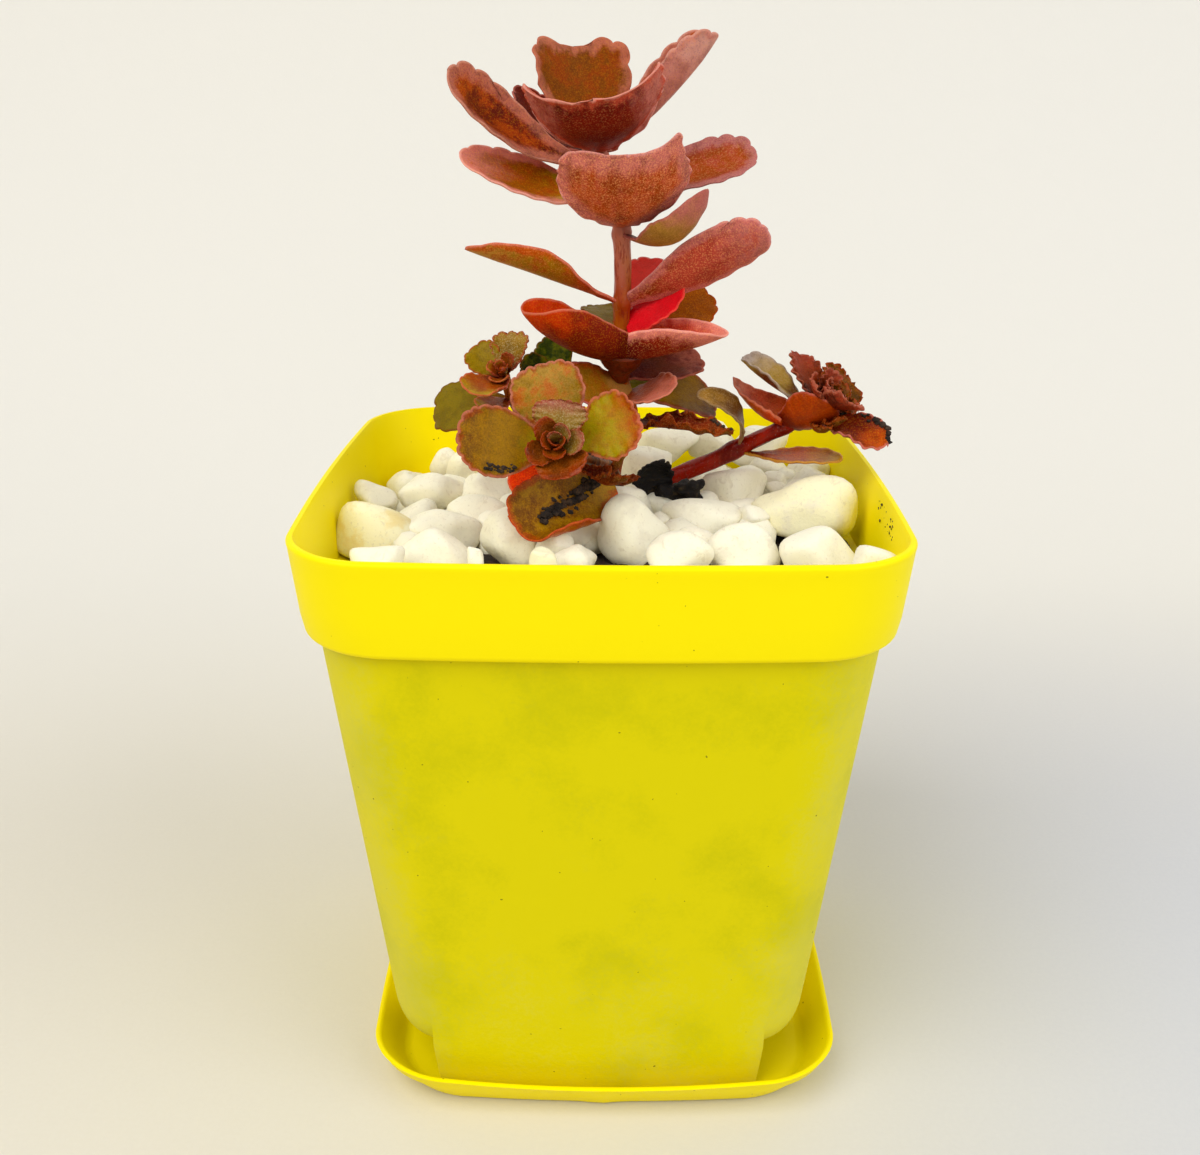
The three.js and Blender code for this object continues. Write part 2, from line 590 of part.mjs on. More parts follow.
// Pebbles. The largest are pieces of their own, and the rest lie joined in one bed.
const PEBBLES = [
  { name: "pebble_yellow_stained", at: [-31, -4, 79.6], size: [14.5, 9, 8], yaw: 35 },
  { name: "pebble_front_left", at: [-13, -10, 80.4], size: [9, 11, 9.5], yaw: 10 },
  { name: "pebble_middle", at: [5, -8.5, 81], size: [10, 8, 11], yaw: 20 },
  { name: "pebble_round", at: [20.5, 9, 80.6], size: [10.5, 10, 9.5] },
  { name: "pebble_peaked", at: [29.5, -3, 82], size: [14.5, 10, 9.5], yaw: -10 },
  { name: "pebble_front_right", at: [28, -20, 82.6], size: [11.5, 10, 8] },
  { at: [-34, 7, 80.5], size: [7, 6, 6.5] },
  { at: [-32, 26, 77.5], size: [8, 7, 6] },
  { at: [-25.5, 32.5, 79], size: [7, 8, 6] },
  { at: [-19, 30, 79.6], size: [8, 8, 6.5] },
  { at: [-27.5, 19, 78.4], size: [12, 8, 7], yaw: 10 },
  { at: [-22, -1, 79.4], size: [12, 8, 6.5], yaw: 25 },
  { at: [-22.5, -15, 80.2], size: [10, 9, 8], yaw: -5 },
  { at: [-18.5, 15, 79], size: [8.5, 8, 7.5] },
  { at: [-31, -20, 80.5], size: [8, 8, 6] },
  { at: [-5, -12, 80.6], size: [6, 6, 6] },
  { at: [-7, -22, 82], size: [5, 6, 5] },
  { at: [-2.5, -19, 81.5], size: [5.5, 6, 7], yaw: 15 },
  { at: [-15, -21, 81], size: [6, 6, 5] },
  { at: [1.5, -2, 81], size: [9, 7, 10], yaw: 10 },
  { at: [14.5, -3, 81], size: [11, 8, 7], yaw: -20 },
  { at: [12.5, -13, 81.5], size: [7, 7, 6] },
  { at: [10.5, -21, 82.2], size: [9.5, 8, 8] },
  { at: [19, -18.5, 82.2], size: [10, 9, 8], yaw: 10 },
  { at: [33, -29.5, 84], size: [7, 7, 6] },
  { at: [27.5, 16, 80], size: [7, 7, 6] },
  { at: [33.5, 25, 80], size: [8, 8, 6] },
  { at: [27, 24, 80], size: [8, 7, 6] },
  { at: [7, 28, 80.6], size: [10, 9, 8] },
  { at: [13, 32, 81.5], size: [10, 8, 9] },
  { at: [14, 23, 80.6], size: [8, 8, 7] },
  { at: [20, 32, 81.5], size: [9, 8, 8] },
  { at: [28, 32.5, 81.5], size: [10, 8, 8] },
  { at: [-11, 30, 80], size: [9, 9, 7] },
  { at: [-2, 31, 80], size: [9, 9, 7] },
  { at: [-10, 21, 80], size: [9, 8, 7] },
  { at: [-1, 21, 80], size: [9, 9, 7] },
  { at: [-10, 1, 80], size: [9, 9, 7] },
  { at: [-3, 5, 80], size: [7, 7, 7] },
  { at: [-30, -30, 82], size: [9, 9, 7] },
  { at: [-21, -30, 82], size: [9, 9, 7] },
  { at: [-12, -31, 82], size: [9, 8, 7] },
  { at: [-3, -31, 82.3], size: [9, 8, 7] },
  { at: [6, -31, 82.5], size: [9, 8, 7] },
  { at: [15, -31, 82.7], size: [9, 8, 7] },
  { at: [24, -31, 83], size: [9, 8, 7] },
  { at: [-34, 16, 78], size: [6, 8, 6] },
  { at: [-27, 9, 79], size: [8, 8, 7] },
  { at: [-18, 7, 79], size: [8, 8, 7] },
  { at: [34, 15, 80], size: [7, 8, 6] },
  { at: [34, 7, 80.5], size: [7, 7, 6] },
  { at: [34.5, -12, 82], size: [6, 8, 6] },
  { at: [12, 13, 79], size: [8, 8, 6] },
  { at: [10, 4.8, 79.6], size: [10, 8, 7] },
];
const BARK = {
  points: [[6.5, 7, 84.6], [9, 5.5, 83.6], [12, 3.5, 82.6], [15, 3, 83.4]],
  radii: [1.6, 2, 1.8, 1.2],
  steps: 5,
};

function pebbleSolid({ name, at, size, yaw = 0, grow = 0 }) {
  const geometry = name ? new THREE.IcosahedronGeometry(0.5, 1) : new THREE.SphereGeometry(0.5, 7, 4);
  geometry.scale(size[0] + grow, size[1] + grow, size[2] + grow);
  geometry.rotateZ(yaw * DEGREE);
  geometry.translate(...at);
  return solid(geometry);
}

// The lower pebbles, as one sheet between the soil and the stones that show
function bedSheet() {
  return solid(loft([slopeRing(GAP), slopeRing(BED_THICKNESS)]));
}

const cutters = [
  mainStem(GAP),
  tube({ ...FRONT_STEM, grow: GAP }),
  leftStem(GAP),
  tube({ ...RIGHT_STEM, grow: GAP }),
];

add("saucer", "yellowPlastic", saucerGeometry());
add("pot", "yellowPlastic", potGeometry());
const soilBody = cutters.reduce((soil, cutter) => soil.subtract(cutter), soilSolid());
add("soil", "soil", geometryOf(largestPiece(soilBody)));
add("main_stem", "stem", geometryOf(mainStem(0)));
add("front_stem", "stem", geometryOf(tube(FRONT_STEM)));
add("left_stem", "stem", geometryOf(leftStem(0)));
add("right_stem", "stem", geometryOf(tube(RIGHT_STEM)));
add("bark_chip", "bark", geometryOf(tube(BARK)));
for (const leaf of LEAVES) {
  add(leaf.name, leaf.finish, geometryOf(leafSolid(leaf)));
}

let bed = bedSheet();
for (const pebble of PEBBLES) {
  if (pebble.name) {
    cutters.push(pebbleSolid({ ...pebble, grow: 2 * GAP }));
    add(pebble.name, "pebble", geometryOf(pebbleSolid(pebble)));
  } else {
    bed = bed.add(pebbleSolid(pebble));
  }
}
cutters.push(tube({ ...BARK, grow: GAP }));

// The leaf that rests on the pebbles presses its own slightly larger shape into the bed
const resting = LEAVES.find((leaf) => leaf.name === "resting_leaf");
const wider = 1 + (4 * GAP) / resting.width;
cutters.push(
  leafSolid({
    ...resting,
    tip: resting.tip.map((value, i) => between(resting.base[i], value, 1.04)),
    width: resting.width * wider,
    cup: resting.cup * wider,
    clear: resting.clear - 2 * GAP,
    grow: 2 * GAP,
  }),
);
for (const cutter of cutters) {
  bed = bed.subtract(cutter);
}
add("pebble_bed", "pebble", geometryOf(largestPiece(bed)));

export default group;
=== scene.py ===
# %% [markdown]
# # A potted coral reef sedum
# This lesson builds a small succulent in a square yellow plastic pot. The imported CAD model says which
# pieces there are and where they lie, and each of its plain solids is replaced here by a finer piece
# in the same spot, or within about 3 mm of it where a leaf was fitted to its outline. Lengths are in
# millimetres and turn into metres when a mesh is made. Only lamps, and heights inside a material, are
# given in metres.

# %% Load the imported model
import math
import random
import bmesh
import bpy
import numpy as np
from mathutils import Matrix, Vector


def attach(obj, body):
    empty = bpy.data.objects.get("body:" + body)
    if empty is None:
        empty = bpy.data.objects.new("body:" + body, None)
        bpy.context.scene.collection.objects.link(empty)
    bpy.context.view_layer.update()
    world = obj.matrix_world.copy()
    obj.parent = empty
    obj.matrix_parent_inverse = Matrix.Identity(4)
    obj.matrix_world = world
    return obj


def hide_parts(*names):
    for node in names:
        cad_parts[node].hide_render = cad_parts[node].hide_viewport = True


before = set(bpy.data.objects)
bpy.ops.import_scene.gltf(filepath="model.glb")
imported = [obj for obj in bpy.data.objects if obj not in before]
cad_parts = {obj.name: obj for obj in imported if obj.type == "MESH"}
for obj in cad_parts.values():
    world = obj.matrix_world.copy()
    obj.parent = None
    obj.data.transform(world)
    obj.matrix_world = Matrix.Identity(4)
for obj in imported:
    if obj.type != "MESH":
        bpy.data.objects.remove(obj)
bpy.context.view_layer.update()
MM = 0.001
print("nodes in the frame:", len(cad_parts))

# %% [markdown]
# ## Small helpers
# Pieces like these could be pulled into shape by hand or put together from ready-made forms. Here
# their points come from formulas, because a formula is easy to correct later. So most pieces start as
# an array of points and a list of faces, and one helper turns both into an object on the frame.

# %% Turning arrays into pieces
def unit(vector):
    vector = np.asarray(vector, float)
    return vector / np.linalg.norm(vector)


def between(low, high, share):
    return low + (high - low) * share


def smooth_rise(share):
    """From 0 to 1, level at both ends."""
    share = np.clip(share, 0, 1)
    return share * share * (3 - 2 * share)


def new_piece(name, points, faces, material=None, slot=None, nodes=()):
    """A smooth mesh object. With a material it is also declared as a piece of the model."""
    mesh = bpy.data.meshes.new(name)
    in_metres = (np.asarray(points, float) * MM).tolist()
    mesh.from_pydata(in_metres, [], [tuple(map(int, face)) for face in faces])
    mesh.validate()
    mesh.update()
    mesh.polygons.foreach_set("use_smooth", [True] * len(mesh.polygons))
    piece = bpy.data.objects.new(name, mesh)
    bpy.context.scene.collection.objects.link(piece)
    if material:
        mesh.materials.append(material)
        declare(piece, nodes)
    return piece


def declare(piece, nodes):
    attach(piece, "root")
    if nodes:
        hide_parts(*nodes)


def own_node(name):
    """The CAD node that has a piece's name, as a list, which is empty if there is none."""
    return [name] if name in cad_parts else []


def paint(piece, name, values):
    """Stores four numbers for each point of a piece, which its material can read."""
    layer = piece.data.attributes.new(name, "FLOAT_COLOR", "POINT")
    layer.data.foreach_set("color", np.asarray(values, np.float32).ravel())


print("a quarter of the way along, a smooth rise has reached", round(float(smooth_rise(0.25)), 3))

# %% Joining rings into a closed skin
def loft_faces(ring_count, ring_size):
    faces = []
    for ring in range(ring_count - 1):
        for i in range(ring_size):
            a = ring * ring_size + i
            b = ring * ring_size + (i + 1) % ring_size
            faces.append((a, b, b + ring_size, a + ring_size))
    last = (ring_count - 1) * ring_size
    faces.append(tuple(reversed(range(ring_size))))
    faces.append(tuple(range(last, last + ring_size)))
    return faces


def loft(name, rings, **settings):
    """A piece whose skin runs over rings of points, with a flat face on the first and the last."""
    rings = np.array(rings, float)
    points = rings.reshape(-1, 3)
    return new_piece(name, points, loft_faces(len(rings), rings.shape[1]), **settings)


print("three rings of four points have", len(loft_faces(3, 4)), "faces")

# %% [markdown]
# ## Writing materials as expressions
# A material is a small program, which is usually wired by hand in the node editor. Written as Python
# it is shorter and can be reused. The class below wraps one socket so that sums and products of
# sockets read like ordinary Python, and one method makes every other kind of node.

# %% A socket that can be added and multiplied
class Wire:
    def __init__(self, finish, socket):
        self.finish = finish
        self.socket = socket

    def __add__(self, other):
        return self.finish.maths("ADD", self, other)

    def __radd__(self, other):
        return self.finish.maths("ADD", other, self)

    def __sub__(self, other):
        return self.finish.maths("SUBTRACT", self, other)

    def __rsub__(self, other):
        return self.finish.maths("SUBTRACT", other, self)

    def __mul__(self, other):
        return self.finish.maths("MULTIPLY", self, other)

    def __rmul__(self, other):
        return self.finish.maths("MULTIPLY", other, self)

    def __truediv__(self, other):
        return self.finish.maths("DIVIDE", self, other)

    def __rtruediv__(self, other):
        return self.finish.maths("DIVIDE", other, self)


print("a wire stands in sums, differences, products and quotients")

# %% A finish: one material and the ways to fill it
class Finish:
    def __init__(self, name, constants):
        self.material = bpy.data.materials.new(name)
        self.material.use_nodes = True
        self.tree = self.material.node_tree
        self.shader = self.tree.nodes["Principled BSDF"]
        for socket, value in constants.items():
            self.shader.inputs[socket].default_value = value
        self.place = None

    def node(self, kind, settings=None, inputs=None, output=0):
        """Adds a node, sets its settings first and then the values or links of its sockets."""
        made = self.tree.nodes.new(kind)
        for key, value in (settings or {}).items():
            setattr(made, key, value)
        for key, value in (inputs or {}).items():
            self.connect(made.inputs[key], value)
        return Wire(self, made.outputs[output])

    def connect(self, socket, value):
        if isinstance(value, Wire):
            self.tree.links.new(value.socket, socket)
        elif socket.type == "RGBA":
            socket.default_value = (*value, 1)
        else:
            socket.default_value = value

    def feed(self, name, value):
        self.connect(self.shader.inputs[name], value)

    def maths(self, operation, *values):
        return self.node("ShaderNodeMath", {"operation": operation}, dict(enumerate(values)))

    def where(self):
        """The point of the surface in metres, in the frame of the whole object."""
        if self.place is None:
            self.place = self.node("ShaderNodeTexCoord", output="Object")
        return self.place

    def axis(self, letter):
        """The X, Y or Z of the point of the surface, in metres."""
        return self.node("ShaderNodeSeparateXYZ", inputs={0: self.where()}, output=letter)

    def noise(self, size, detail, rough, stretch=None, distort=0.0):
        """Soft noise with blotches of about the given size in millimetres."""
        place = self.where()
        if stretch:
            place = self.node("ShaderNodeMapping", inputs={0: place, "Scale": stretch})
        inputs = {"Vector": place, "Scale": 1 / (size * MM), "Detail": detail, "Roughness": rough}
        inputs["Distortion"] = distort
        return self.node("ShaderNodeTexNoise", inputs=inputs)

    def step(self, value, low, high):
        """0 at low, 1 at high, and a smooth rise between them. Low may be the larger number."""
        settings = {"interpolation_type": "SMOOTHSTEP"}
        inputs = {"Value": value, "From Min": low, "From Max": high}
        return self.node("ShaderNodeMapRange", settings, inputs)

    def mix(self, first, second, share):
        inputs = {0: share, 6: first, 7: second}
        return self.node("ShaderNodeMix", {"data_type": "RGBA"}, inputs, output=2)

    def bump(self, height, depth):
        """Lets a height from 0 to 1 stand out by a depth in millimetres."""
        inputs = {"Height": height, "Distance": depth * MM}
        self.feed("Normal", self.node("ShaderNodeBump", inputs=inputs))

    def attribute(self, name, output):
        """A value that was painted on the points of the piece."""
        return self.node("ShaderNodeAttribute", {"attribute_name": name}, output=output)

    def blade_noise(self, long, wide):
        """Streaks of a length and width in millimetres, which run from a leaf's base to its tip."""
        place = self.attribute("blade", "Vector")
        flat = self.node("ShaderNodeMapping", inputs={0: place, "Scale": (1 / wide, 1 / long, 1)})
        inputs = {"Vector": flat, "Scale": 1.0, "Detail": 3, "Roughness": 0.55}
        return self.node("ShaderNodeTexNoise", inputs=inputs)


def colour(red, green, blue):
    """A colour as a picture shows it, turned into the linear numbers that a shader needs."""
    def linear(value):
        if value <= 10:
            return value / 255 / 12.92
        return ((value / 255 + 0.055) / 1.055) ** 2.4

    return tuple(linear(value) for value in (red, green, blue))


print("a mid grey of 128 is", round(colour(128, 128, 128)[0], 3), "in a shader")

# %% [markdown]
# ## The camera
# The photograph was taken from a little above the rim, about as far off as two pot heights. A camera
# could be aimed by eye, but here its place and lens were fitted to the rim, the cuff, the foot and the
# saucer, so that a piece can be placed later by what the photograph shows of it.

# %% Camera
SENSOR_WIDTH, LENS = 36, 38.26
CAMERA_PLACE = Vector((0.08, -178.2, 139.4)) * MM
CAMERA_BACK = Vector((0.00145, -0.9332, 0.3593)).normalized()
CAMERA_ROLL = math.radians(0.338)


def camera_matrix():
    level = Vector((0, 0, 1)).cross(CAMERA_BACK).normalized()
    up = CAMERA_BACK.cross(level)
    right = level * math.cos(CAMERA_ROLL) + up * math.sin(CAMERA_ROLL)
    up = CAMERA_BACK.cross(right)
    turn = Matrix((right, up, CAMERA_BACK)).transposed().to_4x4()
    return Matrix.Translation(CAMERA_PLACE) @ turn


camera_data = bpy.data.cameras.new("camera")
camera_data.lens = LENS
camera_data.sensor_width = SENSOR_WIDTH
camera_data.clip_start = 0.005
camera = bpy.data.objects.new("camera", camera_data)
camera.matrix_world = camera_matrix()
bpy.context.scene.collection.objects.link(camera)
bpy.context.scene.camera = camera
print("camera at", [round(v, 4) for v in CAMERA_PLACE])

# %% [markdown]
# ## Light and backdrop
# The pot was photographed on pale paper. A floor and a wall would meet in a line, so the backdrop is
# one sheet that curves up behind the pot. Hard light would draw sharp shadows that the photograph
# doesn't have, so one big soft lamp stands at the upper left in front, a weaker one fills from the
# right, and the pale sky lights the rest.

# %% Backdrop sheet
PAPER = colour(231, 228, 220)
# Painted shade on the floor in front, a little warm from painted yellow light thrown by the pot.
PAPER_SHADED_IN_FRONT = colour(217, 211, 197)
# Painted shade on the floor at the right, cooler, where the lamps' light falls off.
PAPER_SHADED_AT_THE_RIGHT = colour(199, 201, 208)
PAPER_FIBRE = colour(240, 238, 232)
BEND_STEPS = 12


def paper_finish():
    paper = Finish("backdrop_paper", {"Roughness": 0.9})
    grain = paper.noise(0.8, detail=4, rough=0.7)
    # Painted shade: the floor in front of the sheet is darker, and a little warm from painted yellow
    # light off the pot.
    painted_shade_in_front = paper.step(paper.axis("Y"), 0.2, 0.0)
    # Painted shade: the floor at the right front is darker and cooler, where the light falls off.
    painted_shade_at_right = painted_shade_in_front * paper.step(paper.axis("X"), -0.03, 0.12)
    base = paper.mix(PAPER, PAPER_SHADED_IN_FRONT, painted_shade_in_front)
    base = paper.mix(base, PAPER_SHADED_AT_THE_RIGHT, painted_shade_at_right)
    paper.feed("Base Color", paper.mix(base, PAPER_FIBRE, grain * 0.2))
    paper.bump(grain, 0.03)
    return paper.material


def make_backdrop(width, front, back, height, bend):
    profile = [(front, 0.0)]
    for i in range(BEND_STEPS + 1):
        angle = math.radians(90 * i / BEND_STEPS)
        profile.append((back - bend + bend * math.sin(angle), bend * (1 - math.cos(angle))))
    profile.append((back, height))
    points = [(side * width / 2, y, z) for y, z in profile for side in (-1, 1)]
    faces = [(2 * i, 2 * i + 1, 2 * i + 3, 2 * i + 2) for i in range(len(profile) - 1)]
    sheet = new_piece("backdrop", points, faces)
    sheet.data.materials.append(paper_finish())
    print("backdrop:", len(faces), "strips")


make_backdrop(width=1400, front=-700, back=380, height=1200, bend=220)


# %% Lamps and sky
def add_lamp(name, place, target, size, power, tint):
    data = bpy.data.lights.new(name, "AREA")
    data.shape = "DISK"
    data.size = size
    data.energy = power
    data.color = tint
    lamp = bpy.data.objects.new(name, data)
    lamp.location = place
    lamp.rotation_euler = (Vector(target) - Vector(place)).to_track_quat("-Z", "Y").to_euler()
    bpy.context.scene.collection.objects.link(lamp)


add_lamp("key_lamp", place=(-0.42, -0.45, 0.75), target=(0, 0, 0.08), size=0.8, power=6.0,
         tint=(1, 0.985, 0.94))
add_lamp("fill_lamp", place=(0.6, -0.35, 0.45), target=(0, 0, 0.07), size=0.8, power=3.2,
         tint=(0.985, 0.99, 1))
sky = bpy.data.worlds.new("pale_sky")
sky.use_nodes = True
sky_light = sky.node_tree.nodes["Background"].inputs
sky_light["Color"].default_value = (0.97, 0.98, 1, 1)
sky_light["Strength"].default_value = 0.41
bpy.context.scene.world = sky
bpy.context.scene.view_settings.view_transform = "Standard"
bpy.context.scene.view_settings.look = "None"

# %% [markdown]
# ## Yellow plastic
# The pot is injection-moulded in thin plastic. Its cuff is clean and bright, the body is a duller
# yellow because the dark soil behind the thin wall takes light away, and dry dust lies on its sides.
# Real light through a thin wall is slow to compute, so the duller yellow is mixed in by height.

# %% Pot finish
CUFF_YELLOW = colour(255, 235, 0)
BODY_YELLOW = colour(224, 211, 0)
SMUDGE = colour(203, 196, 0)
DUST = colour(214, 208, 90)
SPECK = colour(60, 45, 15)


def plastic_finish(name, body_top):
    """Plastic that is clean above body_top and duller, smudged and dusty below it."""
    plastic = Finish(name, {"IOR": 1.46, "Specular IOR Level": 0.08})
    height = plastic.axis("Z")
    below_cuff = plastic.step(height, body_top + 0.0002, body_top - 0.0004)
    cloud = plastic.noise(11, detail=4, rough=0.6)
    smudge = plastic.noise(16, detail=3, rough=0.55)
    grain = plastic.noise(0.7, detail=3, rough=0.7)
    base = plastic.mix(CUFF_YELLOW, BODY_YELLOW, below_cuff)
    smudged = plastic.step(smudge * 0.8 + grain * 0.2, 0.46, 0.7) * below_cuff
    base = plastic.mix(base, SMUDGE, smudged * 0.8)
    off_middle = [plastic.maths("ABSOLUTE", plastic.axis(letter)) for letter in "XY"]
    body_half_width = 0.0297 + height * 0.102
    corner = plastic.step(plastic.maths("MINIMUM", *off_middle) / body_half_width, 0.62, 0.95)
    low = plastic.step(height, 0.034, 0.022)
    dusty = plastic.step(cloud * 0.4 + grain * 0.4 + corner * 0.26 + low * 0.1, 0.44, 0.8) * below_cuff
    base = plastic.mix(base, DUST, dusty * 0.5)
    speck = plastic.step(plastic.noise(0.6, detail=0, rough=0.5), 0.87, 0.9)
    plastic.feed("Base Color", plastic.mix(base, SPECK, speck * 0.7))
    plastic.feed("Roughness", 0.36 + grain * 0.16 + dusty * 0.2)
    plastic.bump(grain * 0.6 + cloud * 0.4, 0.02)
    return plastic.material


yellow_plastic = plastic_finish("pot_yellow", body_top=0.0744)
# The saucer is clean all over, so its limit lies far below it.
saucer_plastic = plastic_finish("saucer_yellow", body_top=-1.0)
print("plastics:", yellow_plastic.name, saucer_plastic.name)

# %% [markdown]
# ## The pot
# The pot is one thin shell. Its outline at any height is a square with round corners and sides that
# bow out slightly. A thin shell could be made by thickening a single surface, but it is cut from
# solids here, as its mould is, because the wall, the floor and the foot differ: an outside, minus a
# notch under each corner, minus the hollow foot, minus an inside, minus five drain holes.

# %% Outline of the pot at one height
RIM_HALF, RIM_TOP, CUFF_HEIGHT = 40, 87.4, 13
CUFF_FOOT_HALF, BODY_TOP_HALF, BODY_FOOT_HALF, SKIRT_FOOT_HALF = 38.9, 37.3, 30.6, 29.8
FLOOR_UNDERSIDE, STAND, WALL = 8.7, 1.5, 1.1
RIM_RADIUS, FOOT_RADIUS, SIDE_BOW, CORNER_ROUND = 12, 9, 0.7, 5
BODY_TOP = RIM_TOP - CUFF_HEIGHT
SIDE_STEPS, CORNER_STEPS = 20, 14


def rounded_square(half, radius, height):
    """A ring of points. Its height is a number, or a function of x and y."""
    straight = half - SIDE_BOW - radius
    quarter = []
    for i in range(SIDE_STEPS):
        along = -1 + 2 * i / SIDE_STEPS
        quarter.append((half - SIDE_BOW * along * along, straight * along))
    for i in range(CORNER_STEPS):
        angle = math.radians(90 * i / CORNER_STEPS)
        quarter.append((straight + radius * math.cos(angle), straight + radius * math.sin(angle)))
    ring = []
    for side in range(4):
        cosine, sine = round(math.cos(math.pi / 2 * side)), round(math.sin(math.pi / 2 * side))
        for x, y in quarter:
            point = (x * cosine - y * sine, x * sine + y * cosine)
            ring.append((*point, height(*point) if callable(height) else height))
    return ring


def cuff_half(z):
    return between(CUFF_FOOT_HALF, RIM_HALF, (z - BODY_TOP) / CUFF_HEIGHT)


def body_half(z):
    return between(BODY_FOOT_HALF, BODY_TOP_HALF, (z - FLOOR_UNDERSIDE) / (BODY_TOP - FLOOR_UNDERSIDE))


def body_radius(z):
    return between(FOOT_RADIUS, RIM_RADIUS, (z - FLOOR_UNDERSIDE) / (RIM_TOP - FLOOR_UNDERSIDE))


def body_ring(z, inset=0.0):
    return rounded_square(body_half(z) - inset, body_radius(z) - inset, z)


print("the body is", round(2 * body_half(40), 1), "mm wide at half height")


# %% Cutting one solid from another
def cut(piece, tool):
    change = piece.modifiers.new("cut", "BOOLEAN")
    change.operation = "DIFFERENCE"
    change.object = tool
    change.solver = "EXACT"
    shown = piece.evaluated_get(bpy.context.evaluated_depsgraph_get())
    mesh = bpy.data.meshes.new_from_object(shown)
    piece.modifiers.clear()
    old = piece.data
    piece.data = mesh
    bpy.data.meshes.remove(old)
    bpy.data.objects.remove(tool)


# %% The outside of the pot
ROUND_STEPS = 5
CUFF_ROUND, LIP_ROUND = 0.8, 0.5


def round_corner(start, end, sideways_first):
    """Points of a quarter circle in a profile of (half width, height)."""
    points = []
    for i in range(ROUND_STEPS + 1):
        angle = math.radians(90 * i / ROUND_STEPS)
        share_x, share_z = math.sin(angle), 1 - math.cos(angle)
        if not sideways_first:
            share_x, share_z = share_z, share_x
        points.append((between(start[0], end[0], share_x), between(start[1], end[1], share_z)))
    return points


def pot_outside():
    profile = [(SKIRT_FOOT_HALF, FOOT_RADIUS - 0.5, STAND)]
    for z in np.linspace(4, BODY_TOP + 0.3, 16):
        skirt_taper = 0.25 * max(0, FLOOR_UNDERSIDE - z) / 4
        profile.append((body_half(max(z, FLOOR_UNDERSIDE)) - skirt_taper, body_radius(z), z))
    ledge_in, ledge_out = BODY_TOP_HALF + 0.2, CUFF_FOOT_HALF - CUFF_ROUND
    profile.append((ledge_in, RIM_RADIUS, BODY_TOP + 0.32))
    profile.append((ledge_out, RIM_RADIUS, BODY_TOP + 0.2))
    cuff_foot = round_corner((ledge_out, BODY_TOP), (CUFF_FOOT_HALF, BODY_TOP + 0.9), sideways_first=True)
    for half, z in cuff_foot:
        profile.append((half, RIM_RADIUS + (half - ledge_out) * 0.5, z))
    for z in np.linspace(BODY_TOP + 3, RIM_TOP - 1, 5):
        profile.append((cuff_half(z), RIM_RADIUS, z))
    lip_start, lip_end = (RIM_HALF, RIM_TOP - LIP_ROUND), (RIM_HALF - LIP_ROUND, RIM_TOP)
    lip = round_corner(lip_start, lip_end, sideways_first=False)
    for half, z in lip:
        profile.append((half, RIM_RADIUS - (RIM_HALF - half), z))
    print("the outside runs over", len(profile), "rings")
    return loft("pot", [rounded_square(half, radius, z) for half, radius, z in profile])


# %% The inside, the hollow foot, the notches and the drain holes
NOTCH_START_X, NOTCH_START_Y, NOTCH_END = 24, 15, 42
FOOT_ROUND_STEPS = 8
DRAIN_RADIUS, DRAIN_SIDES = 3, 32
DRAIN_PLACES = [(0, 0), (9.9, 9.9), (-9.9, 9.9), (-9.9, -9.9), (9.9, -9.9)]


def pot_inside():
    floor = FLOOR_UNDERSIDE + WALL
    rings = [body_ring(floor, WALL + 1.5), body_ring(floor + 0.5, WALL + 0.5)]
    rings.append(body_ring(floor + 1.5, WALL))
    rings += [body_ring(z, WALL) for z in np.linspace(20, BODY_TOP + WALL, 6)]
    rings.append(rounded_square(CUFF_FOOT_HALF - WALL, RIM_RADIUS - WALL, BODY_TOP + WALL + 0.5))
    for flare, rise in ((0, -0.5), (0.35, 0.2), (0.6, 1)):
        rings.append(rounded_square(RIM_HALF - WALL + flare, RIM_RADIUS - WALL + flare, RIM_TOP + rise))
    return loft("inside", rings)


def hollow_foot():
    low = rounded_square(SKIRT_FOOT_HALF - WALL - 0.1, FOOT_RADIUS - 1.5, STAND - 1)
    high = rounded_square(BODY_FOOT_HALF - WALL - 0.1, FOOT_RADIUS - 1.5, FLOOR_UNDERSIDE)
    return loft("hollow_foot", [low, high])


def rounded_foot():
    """The foot that a notch leaves standing: the body with its lower edge rounded."""
    rings = []
    for i in range(FOOT_ROUND_STEPS + 1):
        angle = math.radians(90 * i / FOOT_ROUND_STEPS)
        z = FLOOR_UNDERSIDE + CORNER_ROUND * (1 - math.cos(angle))
        rings.append(body_ring(z, 0.42 * CORNER_ROUND * (1 - math.sin(angle))))
    rings.append(body_ring(FLOOR_UNDERSIDE + CORNER_ROUND + 4))
    return loft("rounded_foot", rings)


def corner_notch(sign_x, sign_y):
    rings = []
    for z in (0, 4, FLOOR_UNDERSIDE, FLOOR_UNDERSIDE + CORNER_ROUND - 0.02):
        inset = max(0, 1 - z / FLOOR_UNDERSIDE)
        near_x, near_y, far = NOTCH_START_X - inset, NOTCH_START_Y - inset, NOTCH_END
        corners = [(near_x, near_y), (far, near_y), (far, far), (near_x, far)]
        ring = [(sign_x * x, sign_y * y, z) for x, y in corners]
        rings.append(ring if sign_x * sign_y > 0 else ring[::-1])
    return loft("notch", rings)


def drain_hole(x, y):
    angles = np.linspace(0, 2 * math.pi, DRAIN_SIDES + 1)[:-1]
    ring = [(x + DRAIN_RADIUS * math.cos(a), y + DRAIN_RADIUS * math.sin(a)) for a in angles]
    heights = (FLOOR_UNDERSIDE - 1, FLOOR_UNDERSIDE + 3)
    return loft("drain", [[(*point, z) for point in ring] for z in heights])


# %% Make the pot
pot = pot_outside()
for sign_x in (-1, 1):
    for sign_y in (-1, 1):
        notch = corner_notch(sign_x, sign_y)
        cut(notch, rounded_foot())
        cut(pot, notch)
cut(pot, hollow_foot())
cut(pot, pot_inside())
for x, y in DRAIN_PLACES:
    cut(pot, drain_hole(x, y))


